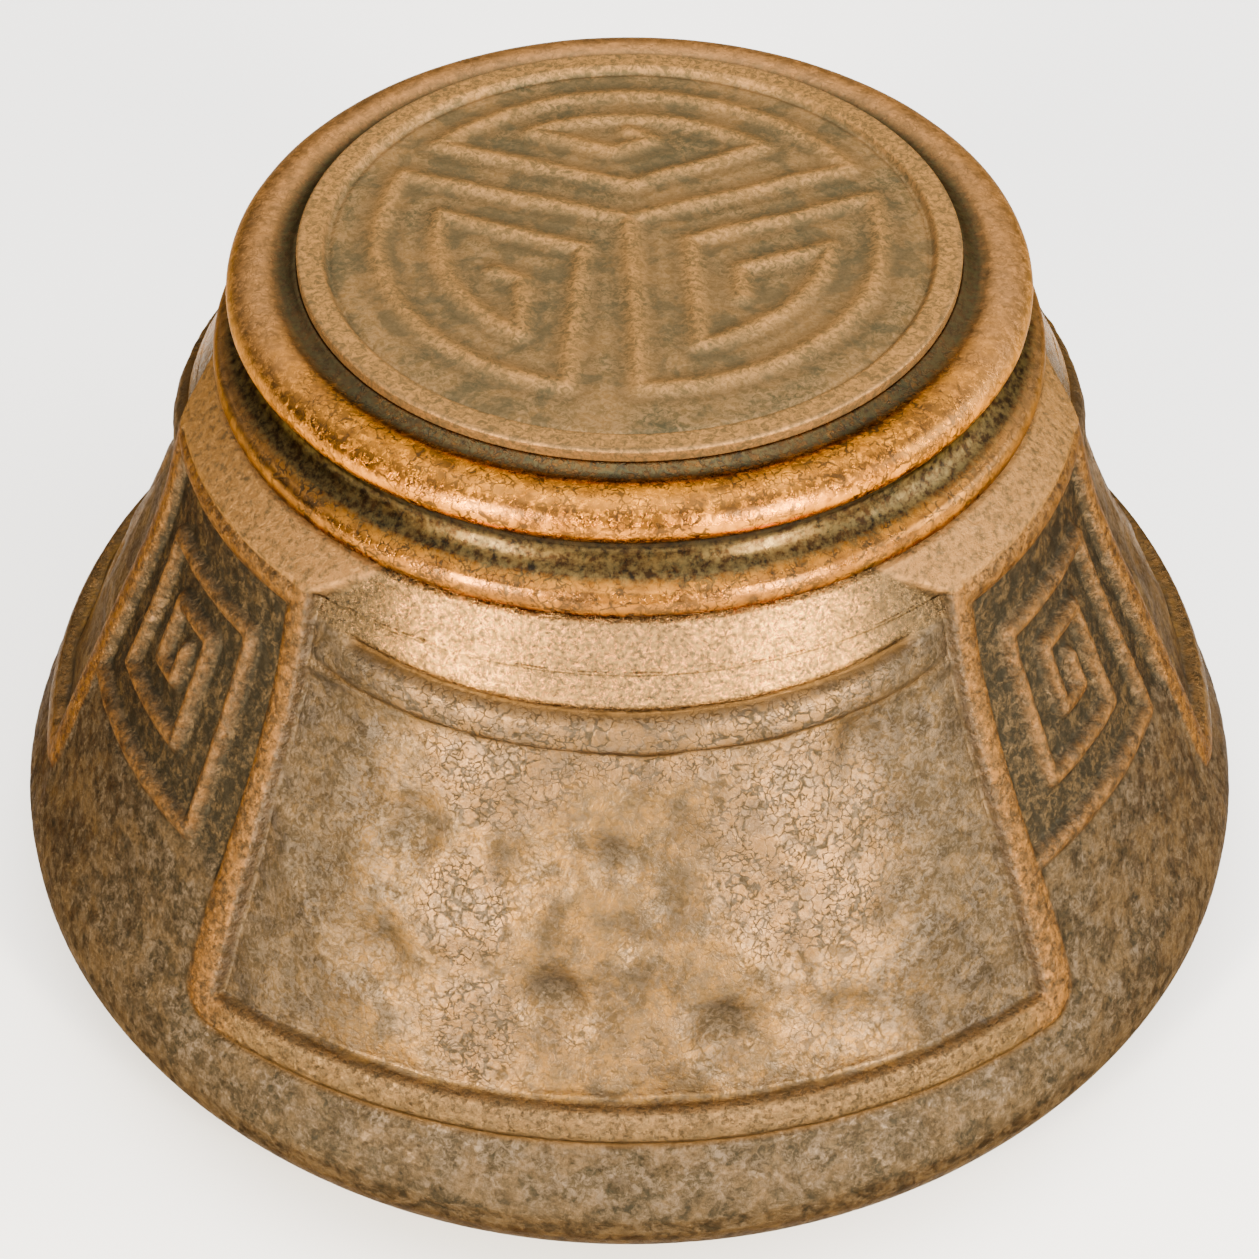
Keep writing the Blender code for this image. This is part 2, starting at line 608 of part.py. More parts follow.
def base_plate(material):
    """Closing plate under the hollow body, with a counterbore for each screw."""
    outline = [(0, PLATE_BOTTOM_Z), (PLATE_R - 0.3, PLATE_BOTTOM_Z), (PLATE_R, PLATE_BOTTOM_Z + 0.3),
               (PLATE_R, PLATE_TOP_Z), (0, PLATE_TOP_Z)]
    plate = turned("base_plate", outline, BASE_SEGMENTS, material, ring=False)
    for index in range(REPEATS):
        x, y = base_screw_place(index)
        hole = cylinder(f"cut plate hole {index}", (x, y, FOOT_Z), (x, y, LEDGE_TOP_Z),
                        BASE_SCREW_R + GAP, SCREW_SEGMENTS)
        pocket = cylinder(f"cut plate pocket {index}", (x, y, FOOT_Z),
                          (x, y, BASE_SCREW_HEAD_TOP_Z + GAP), BASE_SCREW_HEAD_R + GAP,
                          BASE_HEAD_SEGMENTS)
        boolean(plate, hole, "DIFFERENCE")
        boolean(plate, pocket, "DIFFERENCE")
    return plate


def base_screw(index, material):
    """A flat-headed screw, upright, its head sunk in the plate's pocket."""
    x, y = base_screw_place(index)
    name = f"base_screw_{index + 1}"
    head = cylinder(name, (x, y, PLATE_BOTTOM_Z), (x, y, BASE_SCREW_HEAD_TOP_Z), BASE_SCREW_HEAD_R,
                    BASE_HEAD_SEGMENTS, material)
    shank = cylinder(f"shank of {name}", (x, y, BASE_SCREW_HEAD_TOP_Z - GAP),
                     (x, y, LEDGE_TOP_Z - GAP), BASE_SCREW_R, SCREW_SEGMENTS)
    boolean(head, shank, "UNION")
    return head


def felt_pad(material):
    """Soft disc glued under the plate, inside the foot."""
    outline = [(0, 0), (FELT_R - 0.4, 0), (FELT_R, 0.4), (FELT_R, FELT_TOP_Z), (0, FELT_TOP_Z)]
    return turned("felt_pad", outline, BASE_SEGMENTS, material, ring=False)


def main():
    clear_scene()
    body_bronze = metal("patinated_bronze", (0.30, 0.18, 0.085), 0.45)
    lid_bronze = metal("lid_bronze", (0.36, 0.19, 0.07), 0.38)
    relief_bronze = metal("relief_bronze", (0.34, 0.22, 0.12), 0.55)
    hinge_brass = metal("hinge_brass", (0.45, 0.30, 0.13), 0.40)
    collar_brass = metal("collar_brass", (0.62, 0.44, 0.18), 0.30)
    pot_glass = glass("pot_glass", (0.90, 0.94, 0.90), 0.05)
    plate_bronze = metal("plate_bronze", (0.28, 0.19, 0.10), 0.60)
    felt = metal("green_felt", (0.03, 0.09, 0.05), 0.95, metallic=0.0)

    lid_axis = bpy.data.objects.new("lid_hinge_axis", None)
    lid_axis.location = Vector((0, HINGE_Y, HINGE_Z)) * MM
    bpy.context.collection.objects.link(lid_axis)
    bpy.context.view_layer.update()

    body_shell(body_bronze)
    lid_cap(lid_bronze, lid_axis)
    lid_medallion(relief_bronze, lid_axis)
    body_hinge_leaf(hinge_brass)
    lid_hinge_leaf(hinge_brass, lid_axis)
    hinge_pin(hinge_brass)
    for side, word in ((-1, "left"), (1, "right")):
        screw(f"body_leaf_screw_{word}", *body_screw_line(side), hinge_brass)
        screw(f"lid_leaf_screw_{word}", *lid_screw_line(side), hinge_brass, lid_axis)
    pot_collar(collar_brass)
    glass_pot(pot_glass)
    base_plate(plate_bronze)
    for index in range(REPEATS):
        base_screw(index, hinge_brass)
    felt_pad(felt)


main()
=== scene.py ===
"""Looks of the cast-bronze inkwell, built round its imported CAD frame.

Lengths are worked in millimetres and azimuths in degrees, 0 at the front (-Y) and growing
towards +X. The body, lid and relief disc are remade as finely displaced surfaces; the small
hardware keeps its CAD shape and gets aged-metal materials.
"""
import math

import bpy
import numpy as np
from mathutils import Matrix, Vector, noise


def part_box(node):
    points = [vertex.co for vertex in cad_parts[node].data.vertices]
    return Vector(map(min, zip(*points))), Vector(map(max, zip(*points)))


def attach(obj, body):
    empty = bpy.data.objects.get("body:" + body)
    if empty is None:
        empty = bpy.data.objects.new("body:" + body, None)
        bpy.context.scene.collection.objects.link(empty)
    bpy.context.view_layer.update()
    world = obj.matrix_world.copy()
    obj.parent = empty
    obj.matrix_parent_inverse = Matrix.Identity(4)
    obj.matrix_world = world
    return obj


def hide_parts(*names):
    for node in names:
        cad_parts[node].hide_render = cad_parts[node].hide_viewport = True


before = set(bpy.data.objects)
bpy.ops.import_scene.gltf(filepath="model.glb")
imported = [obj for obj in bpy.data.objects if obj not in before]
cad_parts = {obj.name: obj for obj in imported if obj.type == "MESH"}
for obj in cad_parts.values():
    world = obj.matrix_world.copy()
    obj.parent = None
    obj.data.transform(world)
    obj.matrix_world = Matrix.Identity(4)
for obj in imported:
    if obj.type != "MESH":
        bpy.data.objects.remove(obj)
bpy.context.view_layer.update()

MM = 0.001


def low(node):
    """The lowest corner of a CAD node's box, in millimetres."""
    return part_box(node)[0] / MM


def high(node):
    """The highest corner of a CAD node's box, in millimetres."""
    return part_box(node)[1] / MM


# ---------------------------------------------------------------- sizes, in millimetres

DECK_Z = high("body_shell").z
FOOT_Z = low("body_shell").z
WIDEST_R = high("body_shell").x
LID_BOTTOM_Z = low("lid_cap").z
TOP_Z = high("lid_medallion").z
DISC_R = high("lid_medallion").x
DISC_FOOT_Z = low("lid_medallion").z

# The body's flank as (height, radius), and the hollow inside the casting as (radius, height)
DECK_R = 50.3
SHOULDER_Z, SHOULDER_R = 79.4, 55.0
WIDEST_Z = 15.7
FLANK = [(SHOULDER_Z, SHOULDER_R), (66.0, 59.3), (45.0, 69.4), (28.0, 77.4),
         (WIDEST_Z, WIDEST_R), (9.0, 80.3), (4.0, 75.8), (FOOT_Z, 70.3)]
BODY_INSIDE = [(66.3, FOOT_Z), (66.3, 4.8), (58.0, 4.8), (58.0, 8.5), (72.6, 11.5), (75.6, 18.0),
               (72.6, 27.0), (65.0, 43.0), (55.0, 64.0), (49.6, 76.0), (45.5, 79.3), (35.9, 79.3),
               (35.9, DECK_Z)]

# Plain panels and key panels take turns round the body; their half widths are in degrees
REPEATS = 3
SECTOR = 360 / REPEATS
PLAIN_EDGE, PLAIN_EDGE_TOP = 40.5, 33.0
KEY_HALF = 19.5

# Plain panel: hammered sheet sunk inside a rounded frame, round band and sandy neck above it
WALL_WIDTH = 0.55
FRAME_WIDTH, FRAME_WIDTH_FOOT = 4.0, 5.0
FRAME_ROUND = 0.75
EDGE_SINK = 0.05
SHEET_DEPTH, SHEET_FLATTENING = 1.4, 0.8
NECK_Z, NECK_R = 75.4, 54.6
BAND_CREST_Z, BAND_CREST_R = 72.8, 56.9
BAND_FOOT_Z = 70.4
BAND_SAG, BAND_BOW = 1.2, 1.7
BAND_BULGE, BAND_INSET = 1.3, 0.9
SILL_TOP_Z, SILL_BOW = 30.3, 1.3
NECK_LINE_DEPTH, BAND_LINE_DEPTH, SILL_LINE_DEPTH = 0.8, 0.35, 0.55
BASE_FLAT_DEPTH = 1.0

# Key panel: square spiral on a sunk field, with a cornice above and an apron below
FIELD_TOP_Z, FIELD_FOOT_Z = 76.4, 43.6
FIELD_DEPTH, APRON_DEPTH = 1.6, 0.7
CORNICE_HOLLOW = 0.5
SPIRAL_RIDGE, SPIRAL_HALF_WIDTH = 1.3, 1.35
# (degrees from the middle of the key panel, height)
SPIRAL = [(-KEY_HALF, 43.6), (10, 43.6), (10, 68.8), (-10, 68.8), (-10, 50.3), (3.5, 50.3),
          (3.5, 63.7), (-4.5, 63.7), (-4.5, 55.8), (-0.5, 55.8), (-0.5, 59.6)]

# Hammer prints (degrees from the middle of the plain panel, height, width, depth), and the
# smaller unevenness of sheet and casting
DENTS = [(8.8, 37.3, 7.5, 1.25), (-7.1, 40.8, 7.0, 1.15), (-2.0, 57.0, 5.5, 0.80),
         (4.5, 53.0, 5.5, 0.55), (-23.5, 57.5, 7.0, 0.6), (-24.5, 42.0, 6.5, 0.6),
         (27.0, 66.0, 6.0, 0.5), (29.0, 47.0, 8.0, 0.5), (16.0, 45.0, 5.0, 0.35),
         (-12.0, 56.0, 5.0, 0.4), (1.0, 46.0, 4.0, -0.35), (20.0, 37.0, 6.0, 0.35)]
HAMMER_SIZE, HAMMER_DEPTH = 9.0, 0.75
WAVE_SIZE, WAVE_DEPTH = 12.0, 0.35
CAST_GRAIN_SIZE, CAST_GRAIN_DEPTH = 2.2, 0.10
# Crackled patina (degrees from the panel's middle, height, half width in degrees, half height,
# strength)
CRACKLED = [(-15.0, 65.0, 8.0, 5.5, 1.0), (-17.0, 50.0, 5.0, 7.0, 0.85),
            (-14.5, 37.0, 5.0, 7.0, 0.7), (19.0, 57.0, 11.0, 13.0, 0.95),
            (0.0, 36.0, 30.0, 4.0, 0.3), (0.0, 67.5, 30.0, 2.5, 0.6)]
# Softening of the cast edges, and the girth that it is spread over
EDGE_BLUR = 0.22
MEAN_GIRTH = 430

# Outline of the lid cap: torus, cove and bead outside, then the rim, the hollow and the disc's seat,
# as (radius, height)
TORUS_R, TORUS_Z = 44.0, 93.8
TORUS_HALF_R, TORUS_HALF_Z = 3.9, 3.0
COVE = [(46.05, 90.6), (46.0, 90.2), (46.05, 89.8), (46.2, 89.4), (46.45, 88.95),
        (46.8, 88.5), (47.3, 88.05), (47.9, 87.6), (48.4, 87.35), (48.9, 87.1)]
BEAD_R, BEAD_Z = 48.75, 84.95
BEAD_HALF_R, BEAD_HALF_Z = 1.55, 2.0
LID_RIM = [(49.9, LID_BOTTOM_Z + 0.15), (49.7, LID_BOTTOM_Z), (46.2, LID_BOTTOM_Z)]
LID_INSIDE = [(45.6, 84.2), (42.8, 87.3), (42.6, 87.8), (42.6, 90.7), (42.2, 91.8), (41.1, 92.4)]
SEAT_R = DISC_R - 0.06
LID_SEAT = [(SEAT_R, 94.9), (SEAT_R, 96.8), (DISC_R + 0.3, 96.85),
            (DISC_R + 0.7, 96.65), (DISC_R + 1.3, 96.35), (DISC_R + 2.0, 96.25)]

# Relief disc
DISC_FIELD_Z = TOP_Z - 0.85
DISC_BORDER_R, DISC_BORDER_RISE = 35.6, 0.72
DISC_EDGE_ROUND = 0.35
INCISED_DEPTH = 0.28
FRET_HALF_WIDTH, FRET_RISE = 1.1, 0.45
# Middle lines of the three frets, as shares of the disc's radius; a leg marked ARC is curved
ARC = None
FRETS = [
    [(0, 0.11), (0.68, 0.38), ARC, (-0.60, 0.50), (0, 0.29), (0.42, 0.49), ARC, (-0.31, 0.57),
     (-0.05, 0.47), (0.07, 0.53), (0.0, 0.58)],
    [(0, 0.11), (0.03, -0.70), ARC, (0.74, 0.22), (0.18, 0), (0.20, -0.50), ARC, (0.60, -0.03),
     (0.33, -0.14), (0.33, -0.28)],
    [(0, 0.11), (-0.70, 0.34), ARC, (-0.18, -0.69), (-0.14, -0.04), (-0.57, 0.13), ARC,
     (-0.32, -0.45), (-0.32, -0.20), (-0.40, -0.15)],
]

# Height of the pot's flange above the collar's foot
POT_SEAT_RISE = 9.3

# Fineness of the surfaces
BODY_COLUMNS = 960
BODY_STEP = 0.34
LID_COLUMNS = 480
DISC_COLUMNS = 720
DISC_RINGS = 150
POT_COLUMNS = 160


# ---------------------------------------------------------------- helpers for arrays

def smoothstep(x, low_edge, high_edge):
    """0 below the low edge, 1 above the high edge, with an S-curve between."""
    t = np.clip((x - low_edge) / (high_edge - low_edge), 0, 1)
    return t * t * (3 - 2 * t)


def blur_rows(field, sigma):
    """Gaussian blur down the rows, ends held."""
    reach = max(int(3 * sigma + 0.5), 1)
    kernel = np.exp(-0.5 * (np.arange(-reach, reach + 1) / sigma) ** 2)
    kernel /= kernel.sum()
    padded = np.pad(field, ((reach, reach), (0, 0)), mode="edge")
    return sum(k * padded[i:i + len(field)] for i, k in enumerate(kernel))


def blur_round(field, sigma):
    """Gaussian blur round the columns, which close on themselves."""
    reach = max(int(3 * sigma + 0.5), 1)
    steps = np.arange(-reach, reach + 1)
    kernel = np.exp(-0.5 * (steps / sigma) ** 2)
    kernel /= kernel.sum()
    return sum(k * np.roll(field, s, axis=1) for s, k in zip(steps, kernel))


def lumps(points, size, octaves, seed):
    """Smooth 3-D noise about -1..1 at an array of points in millimetres."""
    shift = Vector((seed * 13.7, seed * 7.1, seed * 3.3))
    flat = points.reshape(-1, 3) / size
    out = [noise.fractal(Vector(p) + shift, 1.0, 2.0, octaves) for p in flat]
    return np.array(out).reshape(points.shape[:-1])


def hammer_marks(points, size, seed):
    """Shallow round dents packed side by side: 1 between dents, down to 0 in their middles."""
    shift = Vector((seed * 5.3, seed * 9.9, seed * 1.7))
    flat = points.reshape(-1, 3) / size
    out = [noise.voronoi(Vector(p) + shift)[0][0] for p in flat]
    return np.clip(np.array(out).reshape(points.shape[:-1]), 0, 1) ** 2


def ring_points(radius, height, azimuth):
    """Grid of points from (rows, columns) radius and height arrays and the columns' azimuths."""
    turn = np.radians(azimuth)
    return np.stack([radius * np.sin(turn), -radius * np.cos(turn), height + 0 * radius], axis=-1)


def lathe(profile, azimuth):
    """Radius and height grids of a (radius, height) profile turned round the axis."""
    r, z = (np.array(v)[:, None] + 0 * azimuth[None, :] for v in zip(*profile))
    return r, z


# ---------------------------------------------------------------- meshes

def grid_mesh(name, points, closed_rows=False, cap_start=False, cap_end=False):
    """A mesh from a (rows, columns, 3) grid that closes round its columns."""
    rows, columns, _ = points.shape
    verts = points.reshape(-1, 3) * MM
    index = np.arange(rows * columns).reshape(rows, columns)
    below = np.roll(index, -1, axis=0) if closed_rows else index[1:]
    above = index if closed_rows else index[:-1]
    quads = np.stack([above, below, np.roll(below, -1, axis=1), np.roll(above, -1, axis=1)], axis=-1)
    faces = quads.reshape(-1, 4).tolist()
    if cap_start:
        faces.append(index[0].tolist())
    if cap_end:
        faces.append(index[-1][::-1].tolist())
    mesh = bpy.data.meshes.new(name)
    mesh.from_pydata(verts.tolist(), [], faces)
    mesh.update()
    mesh.shade_smooth()
    obj = bpy.data.objects.new(name, mesh)
    bpy.context.collection.objects.link(obj)
    return obj


def paint(obj, name, values):
    """Store one number per vertex for the material to read."""
    layer = obj.data.attributes.new(name, "FLOAT", "POINT")
    layer.data.foreach_set("value", np.asarray(values, dtype=np.float32).ravel())


# ---------------------------------------------------------------- body surface

def through(points, z):
    """Radius at heights z on a smooth curve through (z, radius) points, top to bottom."""
    last = len(points) - 1
    zs, rs = (np.array(v) for v in zip(*points))
    ends = [(max(i - 1, 0), min(i + 1, last)) for i in range(last + 1)]
    slope = np.array([(rs[b] - rs[a]) / (zs[b] - zs[a]) for a, b in ends])
    i = np.clip(np.searchsorted(-zs, -z, side="right") - 1, 0, last - 1)
    span = zs[i + 1] - zs[i]
    t = (z - zs[i]) / span
    return (rs[i] * (1 + 2 * t) * (1 - t) ** 2 + rs[i + 1] * t * t * (3 - 2 * t)
            + span * (slope[i] * t * (1 - t) ** 2 - slope[i + 1] * t * t * (1 - t)))


def line(z, top, foot):
    """Radius at heights z on the straight line between two (height, radius) points."""
    return top[1] + (foot[1] - top[1]) * (z - top[0]) / (foot[0] - top[0])


def envelope(z):
    """Radius of the body's outermost surface at heights z."""
    shoulder = line(z, (DECK_Z, DECK_R), (SHOULDER_Z, SHOULDER_R))
    return np.where(z > SHOULDER_Z, shoulder, through(FLANK, np.minimum(z, SHOULDER_Z)))


def body_azimuths():
    """Columns round the body, closer together across the ribs and the key panels."""
    steps = 7200
    fine = np.linspace(0, 360, steps, endpoint=False)
    from_plain = (fine + SECTOR / 2) % SECTOR - SECTOR / 2
    crowding = 1 + 0.4 * (np.abs(from_plain) > PLAIN_EDGE)
    crowding = crowding + 2.2 * np.exp(-((np.abs(from_plain) - PLAIN_EDGE) / 1.6) ** 2)
    share = np.concatenate([[0], np.cumsum(crowding)])
    targets = np.linspace(0, share[-1], BODY_COLUMNS, endpoint=False)
    return np.interp(targets, share, np.linspace(0, 360, steps + 1))


def envelope_rows(step):
    """Evenly spaced (radius, height) points down the outside, with their outward normals."""
    z = np.linspace(DECK_Z, FOOT_Z, 4000)
    r = envelope(z)
    length = np.concatenate([[0], np.cumsum(np.hypot(np.diff(r), np.diff(z)))])
    even = np.linspace(0, length[-1], int(length[-1] / step))
    r, z = np.interp(even, length, r), np.interp(even, length, z)
    r = np.minimum(r, WIDEST_R - 0.05)
    dr, dz = np.gradient(r), np.gradient(z)
    size = np.hypot(dr, dz)
    return r, z, -dz / size, dr / size


def plain_radius(z, side):
    """Radius of the plain panel: sandy neck, round band and hammered sheet."""
    sheet = envelope(z) - SHEET_DEPTH - SHEET_FLATTENING * (1 - side * side)
    neck = line(z, (DECK_Z, DECK_R), (NECK_Z, NECK_R))
    bow = BAND_BOW * side * side - BAND_SAG
    bulge = np.clip(1 - ((z - bow - BAND_CREST_Z) / (NECK_Z - BAND_CREST_Z)) ** 2, 0, 1)
    under_band = line(z, (NECK_Z, NECK_R), (BAND_FOOT_Z, BAND_CREST_R - BAND_INSET))
    band = under_band + BAND_BULGE * np.sqrt(bulge) * (1 - side ** 6)
    return np.where(z > NECK_Z + bow, neck, np.where(z > BAND_FOOT_Z + bow, band, sheet))


def ridge_height(across, width):
    """Rounded ridge profile: 1 on the crest, 0 from width outwards."""
    return np.clip(1 - (across / width) ** 2, 0, 1) ** 0.8


def groove(distance, width):
    """Soft-edged groove: 1 on its line, fading over its width."""
    return np.exp(-(distance / width) ** 2)


def spiral_height(k, z, across):
    """The square spiral of a key panel: 1 on the crest of its ridge."""
    best = np.zeros_like(z)
    for (u0, z0), (u1, z1) in zip(SPIRAL, SPIRAL[1:]):
        du = np.maximum(np.maximum(min(u0, u1) - k, k - max(u0, u1)), 0) * across
        dz = np.maximum(np.maximum(min(z0, z1) - z, z - max(z0, z1)), 0)
        best = np.maximum(best, ridge_height(np.hypot(du, dz), SPIRAL_HALF_WIDTH))
    return best


def body_relief(radius, height, azimuth):
    """Depth below the envelope and the masks that the material reads, on a (rows, columns) grid.

    p and k are degrees from the middle of the nearest plain panel and key panel, and across is
    the length of one degree.
    """
    z = height[:, None] + 0 * azimuth[None, :]
    p = (azimuth + SECTOR / 2)[None, :] % SECTOR - SECTOR / 2 + 0 * z
    k = azimuth[None, :] % SECTOR - SECTOR / 2 + 0 * z
    across = radius[:, None] * math.radians(1)
    slope = np.hypot(1, np.gradient(radius) / np.gradient(height))[:, None]
    steepness = (NECK_R - DECK_R) / (NECK_Z - DECK_Z)
    toward_neck = (1 - steepness * np.gradient(radius) / -np.gradient(height))[:, None] / slope
    narrow = np.clip((DECK_Z - z) / (DECK_Z - SHOULDER_Z), 0, 1)
    edge = PLAIN_EDGE_TOP + (PLAIN_EDGE - PLAIN_EDGE_TOP) * narrow
    side = np.clip(np.abs(p) / edge, 0, 1)

    # distance outwards from the sheet's outline, across the bead that frames it
    sill_z = SILL_TOP_Z - SILL_BOW * side ** 2
    beside = np.maximum(np.abs(p) - edge, 0) * across
    under = np.maximum(sill_z - z, 0) * slope
    out = np.hypot(beside, under)
    width = FRAME_WIDTH + (FRAME_WIDTH_FOOT - FRAME_WIDTH) * smoothstep(z, 60, 30)
    t = out / width
    crown = np.sqrt(np.clip(1 - 0.92 * (2 * t - 1) ** 2, 0, 1))
    bead_depth = EDGE_SINK + FRAME_ROUND * (1 - crown)
    on_bead = smoothstep(out, 0.01, 0.4) * (1 - smoothstep(t, 0.93, 1.03)) * (z < SHOULDER_Z + 0.2)
    on_sheet = 1 - smoothstep(out, 0, WALL_WIDTH)
    inside_plain = on_sheet * (z > sill_z - 1)

    # the sheet, and the key panel's field, spiral, apron and cornice
    sheet_depth = (envelope(z) - plain_radius(z, side)) / toward_neck
    spiral = spiral_height(k, z, across)
    rib_t = 1 - smoothstep(t, 0.9, 1.12)
    under_cornice = 1 - smoothstep(z, FIELD_TOP_Z - 0.7, FIELD_TOP_Z + 0.2)
    in_field = (1 - rib_t) * under_cornice * (np.abs(k) < KEY_HALF)
    lower = smoothstep(z, FIELD_FOOT_Z - 3, FIELD_FOOT_Z + 0.5)
    apron_end = smoothstep(z, 20.0, 30.0)
    key_depth = (APRON_DEPTH * apron_end + (FIELD_DEPTH - APRON_DEPTH) * lower) * in_field
    key_depth = np.maximum(key_depth - spiral * SPIRAL_RIDGE * in_field, 0)
    cornice_t = np.clip((SHOULDER_Z - z) / (SHOULDER_Z - FIELD_TOP_Z), 0, 1)
    cornice = (z < SHOULDER_Z) * (z > FIELD_TOP_Z - 0.5) * (1 - on_sheet)
    cornice_depth = EDGE_SINK + CORNICE_HOLLOW * (2 * cornice_t - 1) ** 2
    base_depth = BASE_FLAT_DEPTH * smoothstep(z, 15.5, 24.5) * (1 - smoothstep(np.abs(p), 40, 46))

    ground = np.maximum(key_depth, base_depth * (z < sill_z))
    ground = ground + (cornice_depth - ground) * cornice
    depth = ground + (bead_depth - ground) * on_bead * (1 - cornice * (np.abs(p) > edge + 3))
    depth = depth + (sheet_depth - depth) * inside_plain

    # incised lines
    bow = BAND_BOW * side ** 2 - BAND_SAG
    neck_line = groove((z - NECK_Z - bow) * slope, 0.6) * (1 - smoothstep(side, 0.84, 0.9))
    band_line = groove((z - BAND_FOOT_Z - bow) * slope, 0.5) * (1 - smoothstep(side, 0.9, 1))
    sill_line = groove((t - 1.03) * width, 0.45) * (under > 0) * (1 - smoothstep(np.abs(p), 40, 44))
    sheet_line = groove(out - 0.1, 0.5)
    depth = depth + NECK_LINE_DEPTH * neck_line * on_sheet
    depth = depth + BAND_LINE_DEPTH * band_line * on_sheet
    depth = depth + SILL_LINE_DEPTH * sill_line

    masks = {
        "plain": inside_plain * (1 - smoothstep(z - bow, NECK_Z - 0.4, NECK_Z + 0.4)),
        "neck": inside_plain * smoothstep(z - bow, NECK_Z - 0.2, NECK_Z + 0.6),
        "field": in_field * lower * (1 - inside_plain) * (1 - spiral),
        "ridge": spiral ** 1.6 * in_field,
        "bead": np.maximum(on_bead * (1 - smoothstep(z, SHOULDER_Z - 0.6, SHOULDER_Z)), cornice),
        "wall": groove(out - 0.35, 0.45) * (under == 0) * (z < SHOULDER_Z),
        "line": np.clip(neck_line * on_sheet + 0.6 * band_line * on_sheet + sill_line
                        + 0.4 * sheet_line * (under > 0), 0, 1),
        "shoulder": smoothstep(z, SHOULDER_Z - 0.3, SHOULDER_Z) * (1 - on_sheet),
        "base": 1 - smoothstep(z, 12, 24),
        "neck_painted_highlight": groove(np.abs(p) - 20, 8),
        "sill": smoothstep(under, 0.0, 1.0) * (1 - smoothstep(np.abs(p), 36, 42)),
        "sides": smoothstep(np.abs(p), 22, 33),
        "crackled": crackled(p, z, azimuth),
    }
    return depth, masks


def panel_sign(azimuth):
    """1 at the front plain panel and -1 at the rear ones, whose marks are mirror images."""
    return np.where(np.round(azimuth / SECTOR) % REPEATS == 0, 1.0, -1.0)[None, :]


def crackled(p, z, azimuth):
    """Where the sheet's patina is broken into islands."""
    best = 1 - smoothstep(np.abs(z - BAND_CREST_Z + BAND_SAG / 2), 1.8, 2.8)
    for centre, middle_z, half_angle, half_z, strength in CRACKLED:
        across = (p * panel_sign(azimuth) - centre) / half_angle
        away = across ** 2 + ((z - middle_z) / half_z) ** 2
        best = np.maximum(best, strength * np.exp(-away ** 1.5))
    return best


def body_dents(points, height, azimuth, masks):
    """Hammer marks and casting roughness, as depth, and a mask of painted shade in the hammer prints,
    darker on their upper halves.
    """
    p = (azimuth + SECTOR / 2)[None, :] % SECTOR - SECTOR / 2
    plain = masks["plain"] * (1 - smoothstep(height, BAND_FOOT_Z - 2, BAND_FOOT_Z))[:, None]
    marks = hammer_marks(points, HAMMER_SIZE, 1)
    waves = lumps(points, WAVE_SIZE, 2.0, 2)
    depth = plain * (HAMMER_DEPTH * (1 - marks) + WAVE_DEPTH * waves)
    hollow = np.zeros_like(depth)
    painted_dent_shade = np.zeros_like(depth)
    for centre, z, size, deep in DENTS:
        away = ((p * panel_sign(azimuth) - centre) * 1.15) ** 2 + (height[:, None] - z) ** 2
        print_shape = np.exp(-(away / (0.5 * size) ** 2) ** 1.5)
        hollow = hollow + 1.5 * deep * print_shape
        upper_side = np.clip((height[:, None] - z) / 2, -1, 1)
        painted_dent_shade = painted_dent_shade + deep * print_shape * (0.7 + 0.3 * upper_side)
    depth = depth + plain * hollow
    # the hollow mask carries painted shade in the prints, heavier on their upper halves
    masks["hollow"] = np.clip(1.2 * painted_dent_shade, 0, 1) * plain
    rough = lumps(points, CAST_GRAIN_SIZE, 3.0, 3)
    smooth = 0.5 * plain + 0.7 * masks["neck"] + 0.5 * masks["bead"] + masks["shoulder"]
    return depth + CAST_GRAIN_DEPTH * rough * (1 - np.clip(smooth, 0, 1))


def make_body():
    """The body's finely displaced outside, closed by the same hollow inside as the casting."""
    radius, height, normal_r, normal_z = envelope_rows(BODY_STEP)
    azimuth = body_azimuths()
    grid_r = radius[:, None] + 0 * azimuth[None, :]
    grid_z = height[:, None] + 0 * azimuth[None, :]
    surface = ring_points(grid_r, grid_z, azimuth)
    depth, masks = body_relief(radius, height, azimuth)
    depth = blur_rows(depth, EDGE_BLUR / BODY_STEP)
    depth = blur_round(depth, EDGE_BLUR * BODY_COLUMNS / MEAN_GIRTH)
    depth = depth + body_dents(surface, height, azimuth, masks)
    row = np.arange(len(radius))
    ends = smoothstep(row, 0, 3) * (1 - smoothstep(row, len(row) - 6, len(row) - 1))
    depth = np.maximum(depth * ends[:, None], 0.02)
    grid_r = grid_r - depth * normal_r[:, None]
    grid_z = grid_z - depth * normal_z[:, None]
    outside = ring_points(grid_r, grid_z, azimuth)
    inner = np.stack([ring_points(np.full(BODY_COLUMNS, r), z, azimuth) for r, z in BODY_INSIDE])
    points = np.concatenate([outside, inner])
    body = grid_mesh("body_surface", points, closed_rows=True)
    blank = np.zeros((len(BODY_INSIDE), BODY_COLUMNS))
    for name, values in masks.items():
        paint(body, name, np.concatenate([values, blank]))
    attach(body, "body")
    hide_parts("body_shell")
    return body


# ---------------------------------------------------------------- lid

def lid_profile():
    """(radius, height) outline of the cap from the seat outwards and down, then inside."""
    turn = np.radians(np.linspace(122, -62, 32))
    torus = list(zip(TORUS_R + TORUS_HALF_R * np.cos(turn), TORUS_Z + TORUS_HALF_Z * np.sin(turn)))
    turn = np.radians(np.linspace(75, -30, 16))
    bead = list(zip(BEAD_R + BEAD_HALF_R * np.cos(turn), BEAD_Z + BEAD_HALF_Z * np.sin(turn)))
    return LID_SEAT + torus + COVE + bead + LID_RIM + LID_INSIDE


